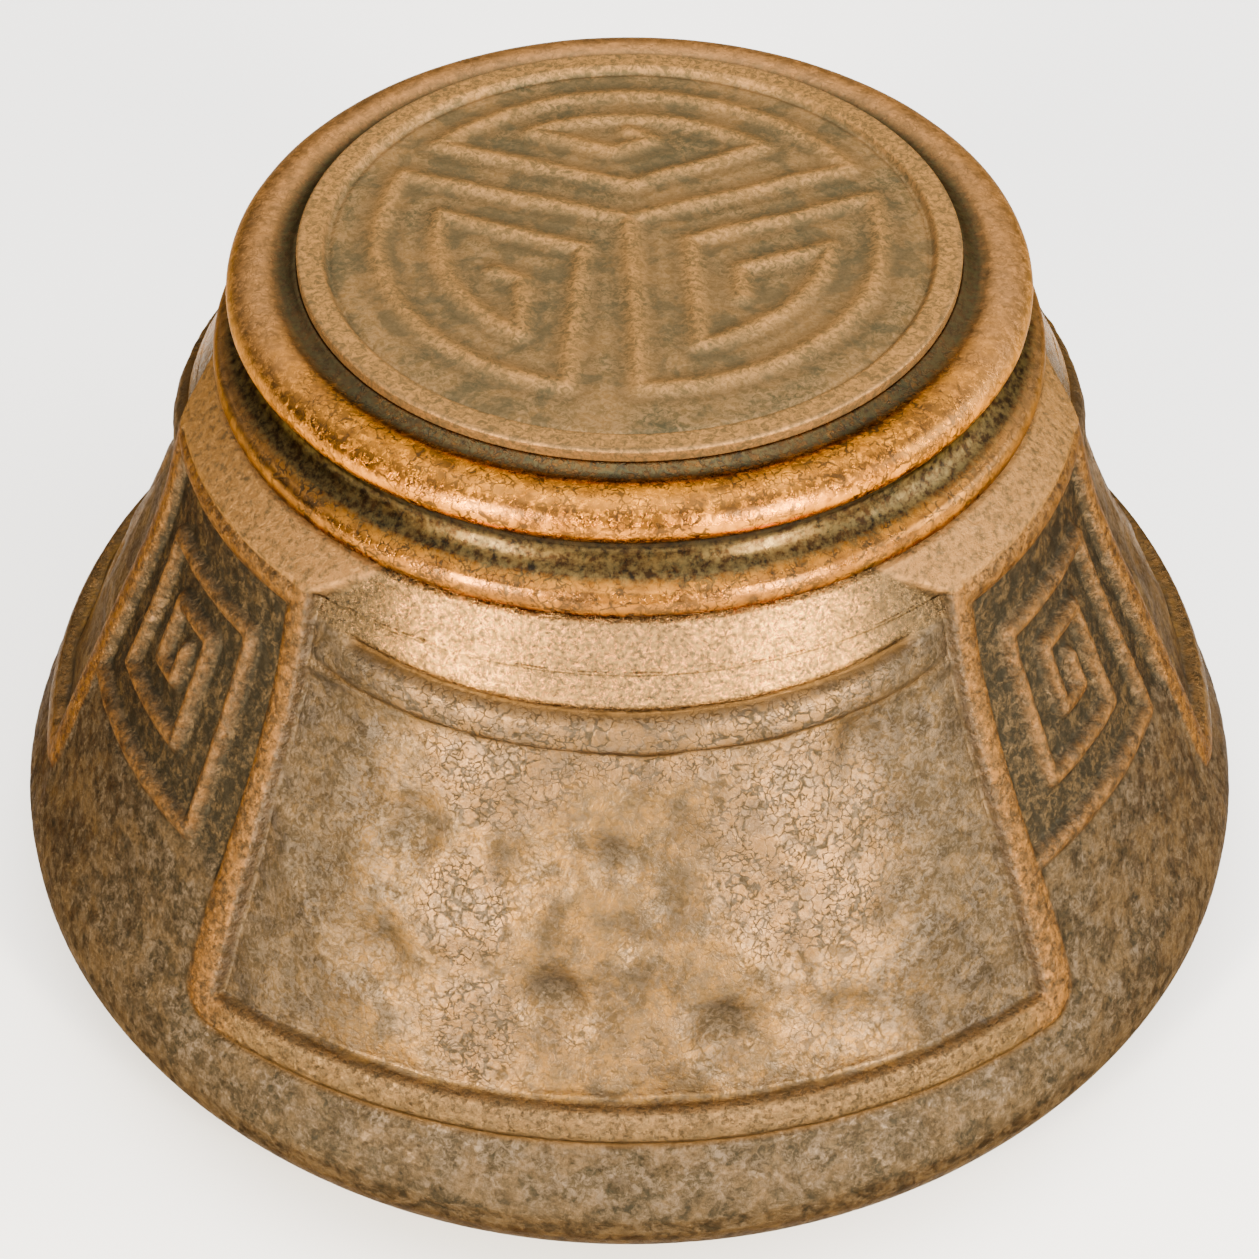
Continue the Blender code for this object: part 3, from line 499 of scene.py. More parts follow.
def make_lid_cap():
    """The turned cap, very slightly uneven outside, with masks for its mouldings, its wear and a
    painted shadow under the torus.
    """
    profile = lid_profile()
    azimuth = np.arange(LID_COLUMNS) * 360 / LID_COLUMNS
    r, z = lathe(profile, azimuth)
    wobble = 0.06 * lumps(ring_points(r, z, azimuth), 9.0, 2.0, 4) - 0.08
    along = np.arange(len(profile))[:, None] + 0 * azimuth[None, :]
    last = len(profile) - len(LID_RIM) - len(LID_INSIDE)
    outer = smoothstep(along, 5, 9) * (1 - smoothstep(along, last - 3, last))
    r = r + np.minimum(wobble, 0) * outer
    cap = grid_mesh("lid_cap_surface", ring_points(r, z, azimuth), cap_start=True, cap_end=True)
    above_bead = smoothstep(z, 86.6, 87.6)
    outside = along < last
    from_front = np.abs((azimuth + 180) % 360 - 180)[None, :] + 0 * z
    paint(cap, "groove", 1 - smoothstep(r, 41.2, 43.4))
    paint(cap, "cove", above_bead * (1 - smoothstep(z, 90.4, 92.4)) * outside)
    paint(cap, "low_bead", 1 - above_bead)
    paint(cap, "painted_shadow_under_torus", groove(z - 90.9, 1.0) * outside)
    paint(cap, "inner", smoothstep(along, last + 1, last + 3))
    paint(cap, "rubbed", 1 - 0.85 * smoothstep(from_front, 35, 80))
    paint(cap, "crown", groove(z - 95.8, 1.3) * outside)
    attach(cap, "lid")
    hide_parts("lid_cap")
    return cap


def fret_path(turns):
    """Points along one fret, in millimetres; a leg marked ARC bends round the centre."""
    path = []
    curved = False
    for turn in turns:
        if turn is ARC:
            curved = True
            continue
        point = Vector(turn) * DISC_R
        if curved:
            start = path[-1]
            a0, a1 = math.atan2(start.y, start.x), math.atan2(point.y, point.x)
            a1 += math.tau if a1 < a0 else 0
            for step in range(1, 16):
                t = step / 16
                angle = a0 + (a1 - a0) * t
                reach = start.length + (point.length - start.length) * t
                path.append(Vector((math.cos(angle), math.sin(angle))) * reach)
        path.append(point)
        curved = False
    return path


def distance_to_path(x, y, path):
    """Distance from each (x, y) to the nearest leg of a path."""
    best = np.full_like(x, 1e9)
    for a, b in zip(path, path[1:]):
        dx, dy = b.x - a.x, b.y - a.y
        t = np.clip(((x - a.x) * dx + (y - a.y) * dy) / (dx * dx + dy * dy), 0, 1)
        best = np.minimum(best, np.hypot(x - a.x - t * dx, y - a.y - t * dy))
    return best


def make_disc():
    """The relief disc: flat border, incised line and three soft-edged frets."""
    flat_r = DISC_R - DISC_EDGE_ROUND
    over_the_edge = flat_r + DISC_EDGE_ROUND * np.sin(np.linspace(0.3, math.pi / 2, 6))
    rings = np.concatenate([np.linspace(0.4, flat_r, DISC_RINGS), over_the_edge])
    azimuth = np.arange(DISC_COLUMNS) * 360 / DISC_COLUMNS
    r = rings[:, None] + 0 * azimuth[None, :]
    points = ring_points(r, 0 * r, azimuth)
    x, y = points[..., 0], points[..., 1]
    warp = 0.25 * lumps(points, 7.0, 2.0, 5)
    near = np.min([distance_to_path(x + warp, y - warp, fret_path(f)) for f in FRETS], axis=0)
    inside_border = 1 - smoothstep(r, DISC_BORDER_R - 2, DISC_BORDER_R)
    fret = groove(near, FRET_HALF_WIDTH) * inside_border
    beside = groove(near - 2 * FRET_HALF_WIDTH, FRET_HALF_WIDTH) * inside_border
    height = DISC_FIELD_Z + FRET_RISE * fret - 0.08 * beside
    border = smoothstep(r, DISC_BORDER_R + 0.1, DISC_BORDER_R + 0.7)
    height = height + DISC_BORDER_RISE * border
    height = height - INCISED_DEPTH * groove(r - DISC_BORDER_R + 0.1, 0.28)
    height = height + 0.05 * lumps(points, 3.0, 3.0, 6) * (1 - 0.6 * border)
    rounded = np.clip((r - flat_r) / DISC_EDGE_ROUND, 0, 1)
    height = height - DISC_EDGE_ROUND * (1 - np.sqrt(np.clip(1 - rounded ** 2, 0, 1)))
    height = np.minimum(blur_rows(height, 0.6), TOP_Z - 0.02)
    top = np.stack([x, y, height], axis=-1)
    wall = [ring_points(np.full(DISC_COLUMNS, DISC_R), z, azimuth)
            for z in (TOP_Z - 0.6, TOP_Z - 1.4, DISC_FOOT_Z)]
    points = np.concatenate([top, np.stack(wall)])
    disc = grid_mesh("lid_relief_disc", points, cap_start=True, cap_end=True)
    blank = np.zeros((len(wall), DISC_COLUMNS))
    paint(disc, "ridge", np.concatenate([fret, blank]))
    paint(disc, "beside", np.concatenate([beside, blank]))
    paint(disc, "rim", np.concatenate([groove(r - DISC_R + 0.2, 0.35), blank + 0.6]))
    paint(disc, "border", np.concatenate([border, blank + 1]))
    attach(disc, "lid")
    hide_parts("lid_medallion")
    return disc


def make_pot():
    """Pressed-glass cup: flange, rolled rim, thick floor."""
    flange_z, rim_z = low("pot_collar").z + POT_SEAT_RISE, high("glass_pot").z
    foot_z, flange_r = low("glass_pot").z, high("glass_pot").x
    rim = [(flange_r - 0.7 * (1 - math.sin(t)), rim_z - 0.7 + 0.7 * math.cos(t))
           for t in np.linspace(math.pi / 2, 0, 6)]
    profile = [(0.2, foot_z + 0.6), (14, foot_z + 0.5), (22, foot_z + 0.1), (25.5, foot_z),
               (27.4, foot_z + 0.9), (28.4, foot_z + 2.6), (28.8, foot_z + 5.0), (32.2, 81.0),
               (32.3, 83.0), (32.3, flange_z + 0.1), (flange_r - 0.5, flange_z + 0.1),
               (flange_r - 0.1, flange_z + 0.5)] + rim
    profile += [(31.0, rim_z), (30.0, rim_z - 0.3), (29.4, rim_z - 1.0), (28.9, 83.0), (25.6, 44.5),
                (24.9, 42.0), (23.4, 40.2), (20.5, 39.1), (14.0, 38.4), (0.2, 38.2)]
    azimuth = np.arange(POT_COLUMNS) * 360 / POT_COLUMNS
    r, z = lathe(profile, azimuth)
    pot = grid_mesh("glass_pot_surface", ring_points(r, z, azimuth), cap_start=True, cap_end=True)
    pot.data.set_sharp_from_angle(angle=math.radians(60))
    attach(pot, "body")
    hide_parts("glass_pot")
    return pot


# ---------------------------------------------------------------- materials

class Graph:
    """A material's node tree, with one short call for each kind of node."""

    def __init__(self, name):
        self.material = bpy.data.materials.new(name)
        self.material.use_nodes = True
        self.tree = self.material.node_tree
        self.shader = self.tree.nodes["Principled BSDF"]
        coords = self.tree.nodes.new("ShaderNodeTexCoord")
        scale = self.tree.nodes.new("ShaderNodeVectorMath")
        scale.operation = "SCALE"
        scale.inputs["Scale"].default_value = 1 / MM
        self.tree.links.new(coords.outputs["Object"], scale.inputs[0])
        self.mm = scale.outputs[0]

    def feed(self, socket, value):
        """Link a socket, or set a colour or number, on an input."""
        if isinstance(value, bpy.types.NodeSocket):
            self.tree.links.new(value, socket)
        elif isinstance(value, tuple) and len(value) == 3 and socket.type == "RGBA":
            socket.default_value = (*value, 1)
        else:
            socket.default_value = value

    def noise(self, size, detail=3.0, rough=0.55, warp=0.0):
        """Noise about 0.5, with lumps of a size in millimetres."""
        node = self.tree.nodes.new("ShaderNodeTexNoise")
        self.feed(node.inputs["Vector"], self.mm)
        node.inputs["Scale"].default_value = 1 / size
        node.inputs["Detail"].default_value = detail
        node.inputs["Roughness"].default_value = rough
        node.inputs["Distortion"].default_value = warp
        return node.outputs["Fac"]

    def patches(self, size, detail, rough, low_edge, high_edge, warp=0.0):
        """Noise parted into patches: 0 below the low edge and 1 above the high edge."""
        return self.ramp(self.noise(size, detail, rough, warp), (low_edge, 0.0), (high_edge, 1.0))

    def warped(self, size, amount, vector=None):
        """The coordinates pushed about by noise, in millimetres."""
        node = self.tree.nodes.new("ShaderNodeTexNoise")
        self.feed(node.inputs["Vector"], self.mm)
        node.inputs["Scale"].default_value = 1 / size
        node.inputs["Detail"].default_value = 2.0
        push = self.vector("MULTIPLY_ADD", node.outputs["Color"], (amount,) * 3, (-amount / 2,) * 3)
        return self.vector("ADD", vector or self.mm, push)

    def vector(self, operation, *values):
        node = self.tree.nodes.new("ShaderNodeVectorMath")
        node.operation = operation
        for socket, value in zip(node.inputs, values):
            self.feed(socket, value)
        return node.outputs[0]

    def cells(self, size, feature, vector, output="Distance"):
        """Cells of a size in millimetres at the given coordinates."""
        node = self.tree.nodes.new("ShaderNodeTexVoronoi")
        node.feature = feature
        self.feed(node.inputs["Vector"], vector)
        node.inputs["Scale"].default_value = 1 / size
        return node.outputs[output]

    def times(self, *values):
        result = values[0]
        for value in values[1:]:
            result = self.math("MULTIPLY", result, value)
        return result

    def flip(self, value):
        """1 minus the value."""
        return self.math("SUBTRACT", 1.0, value)

    def ramp(self, value, *stops):
        """Map a value through (position, grey or colour) stops."""
        node = self.tree.nodes.new("ShaderNodeValToRGB")
        self.feed(node.inputs[0], value)
        marks = node.color_ramp.elements
        while len(marks) < len(stops):
            marks.new(0.5)
        for mark, (position, colour) in zip(marks, stops):
            mark.position = position
            mark.color = (*colour, 1) if isinstance(colour, tuple) else (colour, colour, colour, 1)
        return node.outputs[0]

    def math(self, operation, *values):
        node = self.tree.nodes.new("ShaderNodeMath")
        node.operation = operation
        for socket, value in zip(node.inputs, values):
            self.feed(socket, value)
        return node.outputs[0]

    def mix(self, amount, first, second):
        """Mix two colours."""
        node = self.tree.nodes.new("ShaderNodeMix")
        node.data_type = "RGBA"
        self.feed(node.inputs[0], amount)
        self.feed(node.inputs[6], first)
        self.feed(node.inputs[7], second)
        return node.outputs[2]

    def attribute(self, name):
        """One of the masks stored by paint."""
        node = self.tree.nodes.new("ShaderNodeAttribute")
        node.attribute_name = name
        return node.outputs["Fac"]

    def bump(self, height, distance):
        """A normal from a height, of which 1 stands for a distance in millimetres."""
        node = self.tree.nodes.new("ShaderNodeBump")
        node.inputs["Strength"].default_value = 1.0
        node.inputs["Distance"].default_value = distance * MM
        self.feed(node.inputs["Height"], height)
        return node.outputs[0]

    def plug(self, name, value):
        """Set one input of the material's shader."""
        self.feed(self.shader.inputs[name], value)


# Linear colours: patina, bare metal and painted highlight and shade, shared by the castings, then
# each piece's own
DARK = (0.008, 0.0066, 0.0046)
OLIVE = (0.020, 0.0168, 0.0108)
UMBER = (0.043, 0.030, 0.016)
BROWN = (0.086, 0.054, 0.024)
TAN = (0.135, 0.080, 0.030)
GREY_TAN = (0.092, 0.067, 0.044)
GOLD = (0.250, 0.126, 0.026)
SHEET_GOLD = (0.290, 0.138, 0.024)
BLUE_GREY = (0.020, 0.018, 0.016)
PINK_GOLD = (0.240, 0.122, 0.040)
PAINTED_HIGHLIGHT_GOLD = (0.950, 0.440, 0.090)
ORANGE = (0.330, 0.110, 0.006)
AMBER = (0.720, 0.250, 0.008)
DULL_DARK = (0.260, 0.135, 0.055)
DULL_LIGHT = (0.430, 0.205, 0.070)
RIB_DARK = (0.062, 0.034, 0.014)
RIB_LIGHT = (0.200, 0.088, 0.022)
GREEN_GREY = (0.032, 0.032, 0.016)
GROUND_TAN = (0.130, 0.078, 0.034)
NECK_BROWN = (0.330, 0.165, 0.045)
SHOULDER_TAN = (0.250, 0.122, 0.036)
PAINTED_LINE_SHADE = (0.060, 0.030, 0.008)
COVE_BROWN = (0.062, 0.044, 0.016)
DISC_SHADE = (0.060, 0.052, 0.028)
DISC_OLIVE = (0.076, 0.060, 0.028)
DISC_BROWN = (0.185, 0.102, 0.034)
DISC_SPECK = (0.290, 0.165, 0.066)
DISC_CREST = (0.400, 0.190, 0.050)
COLLAR_BRASS = (0.78, 0.58, 0.27)
EDGE_TINT = (0.40, 0.36, 0.31)
GLASS_TINT = (0.90, 0.95, 0.92)
FELT_DARK = (0.008, 0.030, 0.016)
FELT_LIGHT = (0.040, 0.105, 0.060)
FELT_WORN = (0.030, 0.075, 0.040)


def island_layer(g, size, vector):
    """Rounded islands parted by lines that come and go: 1 on an island, 0 in a line."""
    gap = g.math("SUBTRACT", g.cells(size, "F2", vector), g.cells(size, "F1", vector))
    width = g.ramp(g.noise(size * 2.2, 2.0, 0.5), (0.34, 0.0), (0.66, 0.18))
    inward = g.math("SUBTRACT", g.math("ADD", gap, 0.05), width)
    return g.ramp(inward, (0.0, 0.0), (0.11, 1.0))


def crackle(g, size):
    """Islands of three sizes, each size in its own patches; also a random tone for each island."""
    bent = g.warped(size * 1.3, size * 0.9)
    bent = g.warped(size * 0.4, size * 0.34, bent)
    where = g.noise(size * 2.0, 2.0, 0.5)
    to_middling = g.ramp(where, (0.45, 0.0), (0.47, 1.0))
    small, middling = island_layer(g, size * 0.5, bent), island_layer(g, size * 0.8, bent)
    pattern = g.mix(to_middling, small, middling)
    to_large = g.ramp(where, (0.56, 0.0), (0.58, 1.0))
    pattern = g.mix(to_large, pattern, island_layer(g, size * 1.3, bent))
    return pattern, g.cells(size, "F1", bent, output="Color")


def hair_lines(g, size, width):
    """Fine wandering lines: 1 in a line."""
    away = g.math("ABSOLUTE", g.math("SUBTRACT", g.noise(size, 3.0, 0.55, warp=0.6), 0.5))
    return g.ramp(away, (0.0, 1.0), (width, 0.0))


def mottle(g, size, low_edge=0.42, high_edge=0.58):
    """Rough fibrous patches, 0 to 1."""
    return g.patches(size, 7.0, 0.72, low_edge, high_edge, warp=0.9)


def body_bronze():
    """Patinated cast bronze: each zone's tone laid over the last by its mask."""
    g = Graph("body_bronze")
    islands, tone_of_island = crackle(g, 1.6)
    lines = g.flip(islands)
    fibre = g.patches(1.9, 7.0, 0.70, 0.42, 0.60, warp=0.3)
    fleck = mottle(g, 0.9, 0.44, 0.56)
    fine = g.patches(0.5, 5.0, 0.7, 0.36, 0.64)
    cloud = g.patches(12.0, 3.0, 0.55, 0.40, 0.60)
    smudge = g.patches(5.5, 4.0, 0.6, 0.48, 0.60, warp=0.5)
    spots = g.patches(2.6, 2.0, 0.5, 0.55, 0.61, warp=0.4)
    hair = g.times(hair_lines(g, 1.6, 0.035), g.patches(5.0, 3.0, 0.6, 0.44, 0.54))

    # hammered sheet
    gold = g.mix(g.patches(3.0, 5.0, 0.65, 0.38, 0.62), TAN, SHEET_GOLD)
    gold = g.mix(g.times(cloud, fleck, 0.5), gold, UMBER)
    ragged = g.math("ADD", g.attribute("crackled"), g.times(g.noise(4.0, 4.0, 0.6), 0.9))
    amount = g.ramp(ragged, (0.58, 0.0), (0.95, 1.0))
    grey_island = g.ramp(tone_of_island, (0.60, 0.0), (0.66, 1.0))
    pink = g.mix(g.times(grey_island, 0.6), PINK_GOLD, GREY_TAN)
    sheet = g.mix(g.times(amount, islands, 0.8), gold, pink)
    off_the_islands = g.flip(g.times(amount, 0.6))
    sheet = g.mix(g.times(smudge, off_the_islands, 0.75), sheet, g.mix(fleck, OLIVE, UMBER))
    # painted shade in the hammer prints, read from the hollow mask
    sheet = g.mix(g.times(g.attribute("hollow"), 0.9), sheet, g.mix(fleck, OLIVE, UMBER))
    faint = g.math("ADD", g.times(amount, 0.6), 0.38)
    sheet = g.mix(g.times(lines, faint), sheet, g.mix(fine, OLIVE, UMBER))
    sheet = g.mix(g.times(hair, 0.6), sheet, OLIVE)
    # the panel's sides: rough fibrous mottling, darkened further as painted shade where they turn
    # away from the lamps
    rough_shaded_side = g.mix(g.times(fibre, 0.8), OLIVE, g.mix(fleck, UMBER, BROWN))
    rough_shaded_side = g.mix(g.times(smudge, 0.8), rough_shaded_side, g.mix(fleck, DARK, BLUE_GREY))
    streak = g.patches(3.4, 6.0, 0.7, 0.52, 0.60, warp=0.8)
    rough_shaded_side = g.mix(g.times(streak, 0.6), rough_shaded_side, TAN)
    sheet = g.mix(g.times(g.attribute("sides"), 0.9), sheet, rough_shaded_side)

    # cast ground of the key panels and the base
    ground = g.mix(fibre, g.mix(fleck, OLIVE, UMBER), g.mix(fleck, UMBER, GREY_TAN))
    ground = g.mix(g.times(smudge, 0.5), ground, g.mix(fine, UMBER, GROUND_TAN))
    ground = g.mix(g.times(spots, 0.6), ground, g.mix(fine, DARK, UMBER))
    tone = g.mix(g.attribute("plain"), ground, sheet)

    # key field, worn beads and ridges
    field = g.mix(g.times(fibre, 0.9), OLIVE, g.mix(fleck, OLIVE, BROWN))
    tone = g.mix(g.times(g.attribute("field"), 0.9), tone, field)
    worn = g.mix(g.patches(1.2, 6.0, 0.7, 0.40, 0.58), RIB_DARK, RIB_LIGHT)
    pitted = g.patches(0.8, 4.0, 0.7, 0.54, 0.59)
    worn = g.mix(g.times(g.attribute("sill"), 0.8), worn, g.mix(fleck, BROWN, TAN))
    worn = g.mix(g.times(g.math("MAXIMUM", pitted, hair), 0.75), worn, g.mix(fine, DARK, UMBER))
    rubbed_bead = g.times(g.attribute("bead"), 0.9)
    rubbed = g.math("MAXIMUM", rubbed_bead, g.times(g.attribute("ridge"), 0.75))
    tone = g.mix(g.times(rubbed, g.ramp(fibre, (0.0, 0.65), (1.0, 1.0))), tone, worn)
    tone = g.mix(g.times(g.attribute("wall"), 0.8), tone, g.mix(fleck, UMBER, GREY_TAN))

    # neck, shoulder, base and incised lines
    # the neck turns darker towards its sides, as painted shade
    sandy = g.mix(g.attribute("sides"), g.mix(fine, UMBER, NECK_BROWN), g.mix(fine, OLIVE, TAN))
    # painted highlight: a bright gold band on the neck about 20 degrees either side of the front
    sandy = g.mix(g.attribute("neck_painted_highlight"), sandy, g.mix(fine, TAN, PAINTED_HIGHLIGHT_GOLD))
    sandy = g.mix(g.times(g.math("MAXIMUM", g.times(lines, 0.6), hair), 0.7), sandy, UMBER)
    sandy = g.mix(g.times(smudge, 0.3), sandy, BROWN)
    tone = g.mix(g.times(g.attribute("neck"), 0.9), tone, sandy)
    smooth_tan = g.mix(g.patches(0.9, 5.0, 0.7, 0.36, 0.54), BROWN, SHOULDER_TAN)
    tone = g.mix(g.times(g.attribute("shoulder"), 0.9), tone, smooth_tan)
    tone = g.mix(g.times(g.attribute("base"), 0.5), tone, g.mix(fibre, OLIVE, BROWN))
    # painted shade: dark brown laid along the incised lines and the sheet's outline
    tone = g.mix(g.times(g.attribute("line"), 0.9), tone, PAINTED_LINE_SHADE)
    g.plug("Base Color", tone)
    g.plug("Metallic", 1.0)
    g.plug("Specular Tint", EDGE_TINT)

    # smoother where handled or hammered, rough where cast
    even = g.times(g.attribute("plain"), g.flip(g.attribute("sides")), g.flip(g.attribute("hollow")))
    even = g.math("ADD", g.times(even, islands, 0.18), g.times(g.attribute("bead"), 0.10))
    even = g.math("ADD", even, g.times(g.attribute("sill"), 0.10))
    even = g.math("ADD", even, g.times(g.attribute("neck"), 0.30))
    rough = g.math("SUBTRACT", g.ramp(fleck, (0.0, 0.62), (1.0, 0.50)), even)
    g.plug("Roughness", rough)
    relief = g.times(lines, faint, g.attribute("plain"))
    height = g.math("SUBTRACT", g.noise(0.5, 4.0, 0.65), g.times(relief, 0.4))
    height = g.math("ADD", height, g.times(fibre, g.flip(g.attribute("plain")), 0.7))
    height = g.math("SUBTRACT", height, g.times(pitted, g.attribute("bead"), 0.5))
    height = g.math("ADD", height, g.times(fine, g.attribute("neck"), 0.15))
    g.plug("Normal", g.bump(height, 0.10))
    return g.material


def lid_bronze():
    """Turned bronze, rubbed orange-gold at the front, with dark flakes and crack lines."""
    g = Graph("lid_bronze_worn")
    lines = g.flip(crackle(g, 1.5)[0])
    cluster = g.patches(4.5, 4.0, 0.65, 0.38, 0.48, warp=0.6)
    blotch = g.patches(0.9, 5.0, 0.7, 0.47, 0.51, warp=0.5)
    blotch = g.times(blotch, g.patches(6.0, 3.0, 0.6, 0.50, 0.58))
    dark_marks = g.math("MAXIMUM", g.times(lines, cluster, 0.85), g.times(blotch, 0.7))
    flake = g.patches(0.8, 5.0, 0.7, 0.44, 0.50, warp=0.5)
    dark_marks = g.math("MAXIMUM", dark_marks, g.times(flake, g.attribute("crown"), 0.75))
    dark_marks = g.times(dark_marks, g.ramp(g.attribute("rubbed"), (0.4, 0.6), (0.8, 1.0)))
    bright = g.mix(g.patches(2.5, 4.0, 0.6, 0.38, 0.62), ORANGE, AMBER)
    dull = g.mix(mottle(g, 1.2), DULL_DARK, DULL_LIGHT)
    tone = g.mix(g.attribute("rubbed"), dull, bright)
    tone = g.mix(dark_marks, tone, g.mix(g.attribute("rubbed"), BROWN, OLIVE))
    in_groove = g.times(g.attribute("groove"), 0.9)
    tone = g.mix(in_groove, tone, g.mix(mottle(g, 0.8), OLIVE, GREEN_GREY))
    grain = g.patches(0.9, 5.0, 0.7, 0.40, 0.60)
    tone = g.mix(g.times(g.attribute("low_bead"), 0.6), tone, g.mix(grain, UMBER, RIB_DARK))
    # the cove under the torus: dark olive-brown patina, darkened further as painted shade
    cove = g.mix(grain, DARK, COVE_BROWN)
    tone = g.mix(g.times(g.attribute("cove"), 0.97), tone, cove)
    # painted shadow along the underside of the torus
    tone = g.mix(g.times(g.attribute("painted_shadow_under_torus"), 0.9), tone, DARK)
    stained = g.mix(mottle(g, 3.0), UMBER, g.mix(mottle(g, 1.2), BROWN, TAN))
    tone = g.mix(g.times(g.attribute("inner"), 0.9), tone, stained)
    g.plug("Base Color", tone)
    g.plug("Metallic", 1.0)
    g.plug("Specular Tint", EDGE_TINT)
    smooth = g.ramp(g.noise(1.2, 4.0, 0.6), (0.35, 0.22), (0.65, 0.34))
    rough = g.math("ADD", smooth, g.times(g.flip(g.attribute("rubbed")), 0.16))
    g.plug("Roughness", g.math("ADD", rough, g.times(g.attribute("cove"), 0.03)))
    height = g.math("SUBTRACT", g.noise(0.8, 4.0, 0.6), g.times(dark_marks, 0.5))
    height = g.times(height, g.flip(g.times(g.attribute("cove"), 0.9)))
    g.plug("Normal", g.bump(height, 0.05))
    return g.material


def relief_bronze():
    """Matt olive-brown ground with tan crests and border."""
    g = Graph("relief_bronze_matte")
    cloud = g.patches(8.0, 4.0, 0.6, 0.38, 0.62)
    speck = mottle(g, 0.8, 0.42, 0.60)
    ground = g.mix(cloud, DISC_OLIVE, DISC_BROWN)
    ground = g.mix(g.times(speck, 0.7), ground, DISC_SPECK)
    ground = g.mix(g.times(g.attribute("beside"), 0.45), ground, BROWN)
    crest = g.mix(speck, TAN, DISC_CREST)
    raised_fret = g.times(g.attribute("ridge"), 0.7)
    raised = g.math("MAXIMUM", raised_fret, g.times(g.attribute("border"), 0.8))
    shade = g.patches(5.0, 5.0, 0.65, 0.48, 0.58, warp=0.4)
    ground = g.mix(g.times(shade, 0.6), ground, DISC_SHADE)
    tone = g.mix(raised, ground, crest)
    tone = g.mix(g.times(g.attribute("rim"), 0.2), tone, GREY_TAN)
    g.plug("Base Color", tone)
    g.plug("Metallic", 1.0)
    g.plug("Specular Tint", EDGE_TINT)
    g.plug("Roughness", g.ramp(speck, (0.0, 0.68), (1.0, 0.58)))
    g.plug("Normal", g.bump(g.noise(0.6, 4.0, 0.65), 0.08))
    return g.material


def aged_brass(name, light, dark, rough):
    """Metal of one tone smudged with a darker one."""
    g = Graph(name)
    smudge = g.noise(2.2, 5.0, 0.65, warp=0.5)
    tone = g.mix(g.ramp(smudge, (0.40, 0.0), (0.62, 1.0)), dark, light)
    g.plug("Base Color", tone)
    g.plug("Metallic", 1.0)
    g.plug("Specular Tint", EDGE_TINT)
    g.plug("Roughness", g.ramp(smudge, (0.3, rough + 0.18), (0.7, rough)))
    g.plug("Normal", g.bump(g.noise(0.4, 3.0, 0.6), 0.03))
    return g.material


def pot_glass():
    """Old pressed glass, clear with a green cast and a wavy surface."""
    g = Graph("pot_glass_clear")
    g.plug("Base Color", GLASS_TINT)
    g.plug("Transmission Weight", 1.0)
    g.plug("IOR", 1.5)
    g.plug("Roughness", g.ramp(g.noise(9.0, 3.0, 0.5), (0.35, 0.02), (0.7, 0.08)))
    g.plug("Normal", g.bump(g.noise(7.0, 2.0, 0.5), 0.12))
    return g.material


def felt():
    """Green wool felt."""
    g = Graph("felt_wool")
    fibre = g.noise(0.35, 6.0, 0.75, warp=1.5)
    patch = g.noise(6.0, 3.0, 0.5)
    tone = g.mix(fibre, FELT_DARK, FELT_LIGHT)
    g.plug("Base Color", g.mix(g.times(patch, 0.4), tone, FELT_WORN))
    g.plug("Roughness", 0.95)
    g.plug("Sheen Weight", 0.4)
    g.plug("Normal", g.bump(fibre, 0.25))
    return g.material


def wear(node, material):
    """Give a CAD node's own mesh a finished material."""
    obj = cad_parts[node]
    obj.data.materials.clear()
    obj.data.materials.append(material)


# ---------------------------------------------------------------- stage

# Places and sizes in metres, powers in watts
WARM = (1.0, 0.87, 0.68)
WHITE = (1.0, 1.0, 1.0)
AIM = (0, 0, 0.05)
SOFTBOXES = [
    ("left_softbox", (-0.53, -0.73, 0.36), (0.10, 0.60), 31.0, WARM),
    ("right_softbox", (0.53, -0.73, 0.32), (0.10, 0.60), 28.0, WARM),
    ("front_softbox", (0.0, -1.3, 0.45), (0.8, 0.5), 3.0, WARM),
    ("side_softbox", (1.2, -0.1, 0.55), (0.7, 0.7), 20.0, WHITE),
    ("top_softbox", (0.0, 0.0, 1.4), (1.1, 1.1), 16.0, WHITE),
]
FLOOR_REACH = 6.0
PAPER_WHITE = (0.93, 0.93, 0.93)
SKY_UP = (0.25, 0.0, 0.97)
SKY_MARKS = ((0.06, 0.10), (0.32, 0.80), (0.7, 2.5))
CAMERA_PLACE = (0, -0.2696, 0.2946)
CAMERA_DOWNWARD = 44.08


def soft_light(name, place, size, power, colour):
    """A rectangular area light that faces the object."""
    data = bpy.data.lights.new(name, "AREA")
    data.shape = "RECTANGLE"
    data.size, data.size_y = size
    data.energy = power
    data.color = colour
    light = bpy.data.objects.new(name, data)
    light.location = place
    light.rotation_euler = (Vector(AIM) - Vector(place)).to_track_quat("-Z", "Y").to_euler()
    bpy.context.collection.objects.link(light)


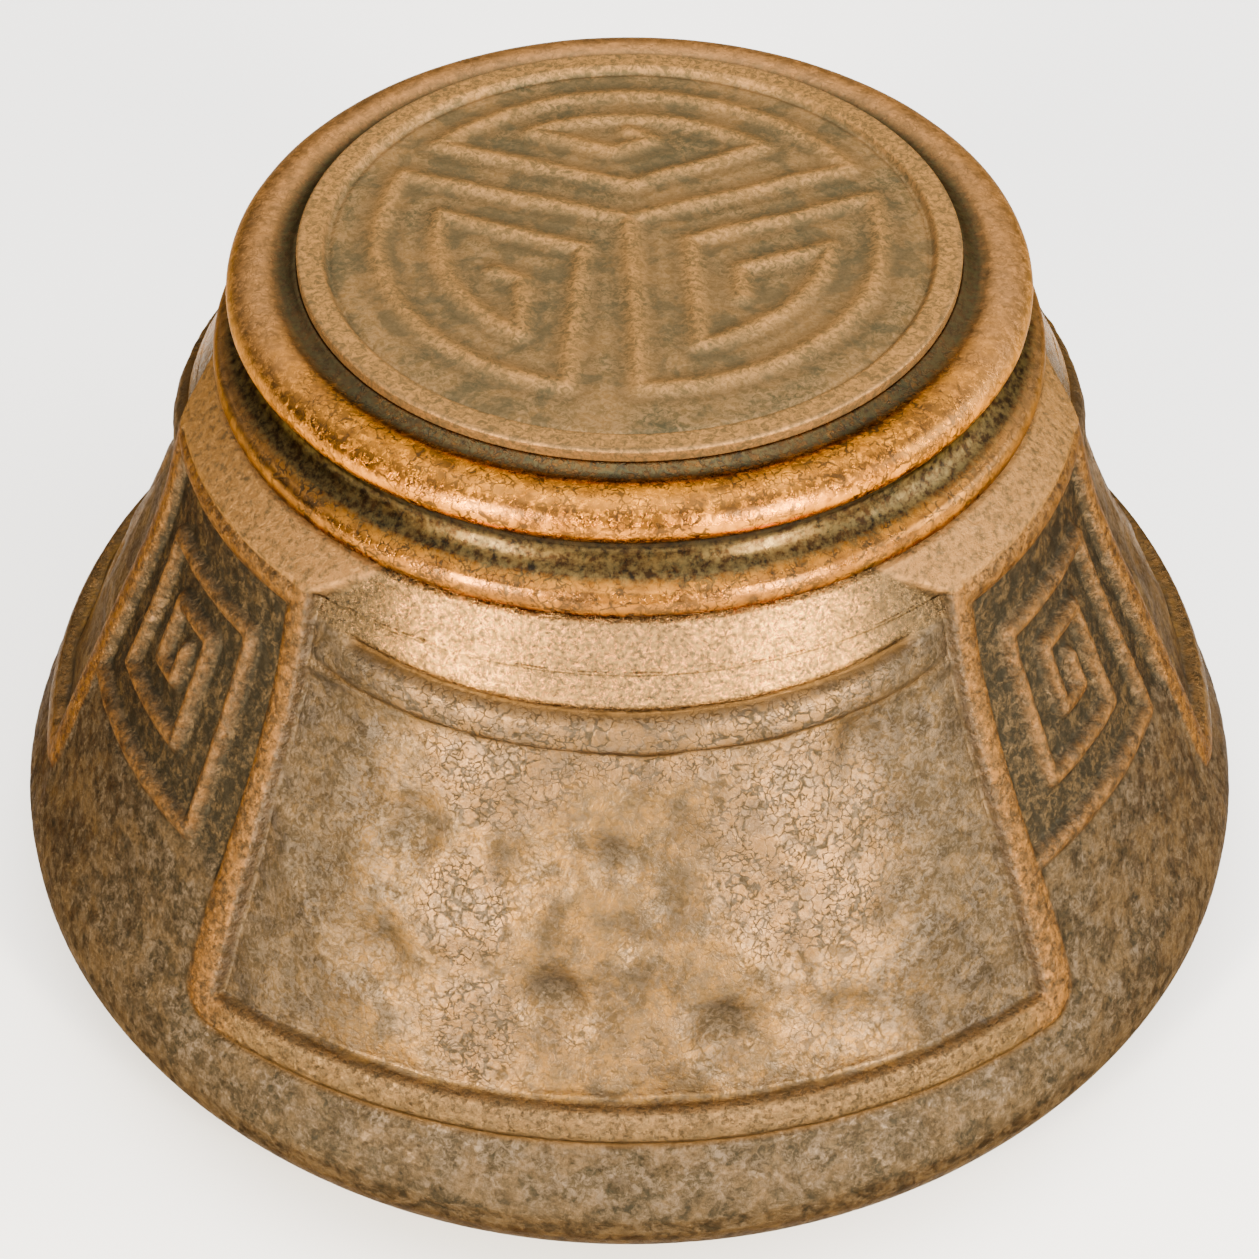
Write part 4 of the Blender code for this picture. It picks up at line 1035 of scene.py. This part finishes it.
def make_floor():
    """A large sheet of pale paper."""
    mesh = bpy.data.meshes.new("floor")
    corners = [(x * FLOOR_REACH, y * FLOOR_REACH, 0) for x, y in ((-1, -1), (1, -1), (1, 1), (-1, 1))]
    mesh.from_pydata(corners, [], [(0, 1, 2, 3)])
    floor = bpy.data.objects.new("floor", mesh)
    bpy.context.collection.objects.link(floor)
    paper = Graph("floor_paper")
    paper.plug("Base Color", PAPER_WHITE)
    paper.plug("Roughness", 0.9)
    paper.plug("Specular IOR Level", 0.1)
    mesh.materials.append(paper.material)


def make_sky():
    """A pale world that brightens upwards."""
    world = bpy.data.worlds.new("studio")
    world.use_nodes = True
    tree = world.node_tree
    coords = tree.nodes.new("ShaderNodeTexCoord")
    upward = tree.nodes.new("ShaderNodeVectorMath")
    upward.operation = "DOT_PRODUCT"
    upward.inputs[1].default_value = SKY_UP
    rise = tree.nodes.new("ShaderNodeValToRGB")
    tree.links.new(coords.outputs["Generated"], upward.inputs[0])
    tree.links.new(upward.outputs["Value"], rise.inputs[0])
    tree.links.new(rise.outputs[0], tree.nodes["Background"].inputs[0])
    rise.color_ramp.elements.new(0.5)
    for mark, (height, grey) in zip(rise.color_ramp.elements, SKY_MARKS):
        mark.position = height
        mark.color = (grey, grey, grey, 1)
    bpy.context.scene.world = world


def make_camera():
    """The camera looks down at the front of the object from 44 degrees."""
    data = bpy.data.cameras.new("camera")
    data.sensor_width = 36
    data.lens = 80.06
    camera = bpy.data.objects.new("camera", data)
    camera.location = CAMERA_PLACE
    camera.rotation_euler = (math.radians(90 - CAMERA_DOWNWARD), 0, 0)
    bpy.context.collection.objects.link(camera)
    bpy.context.scene.camera = camera


# ---------------------------------------------------------------- the inkwell

make_camera()
make_floor()
make_sky()
for softbox in SOFTBOXES:
    soft_light(*softbox)

make_body().data.materials.append(body_bronze())
make_lid_cap().data.materials.append(lid_bronze())
make_disc().data.materials.append(relief_bronze())
make_pot().data.materials.append(pot_glass())

hinge_metal = aged_brass("hinge_brass_aged", GOLD, BROWN, 0.32)
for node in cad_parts:
    if "hinge" in node or "screw" in node:
        wear(node, hinge_metal)
wear("pot_collar", aged_brass("collar_brass_turned", COLLAR_BRASS, TAN, 0.24))
wear("base_plate", aged_brass("plate_bronze_dull", BROWN, OLIVE, 0.50))
wear("felt_pad", felt())
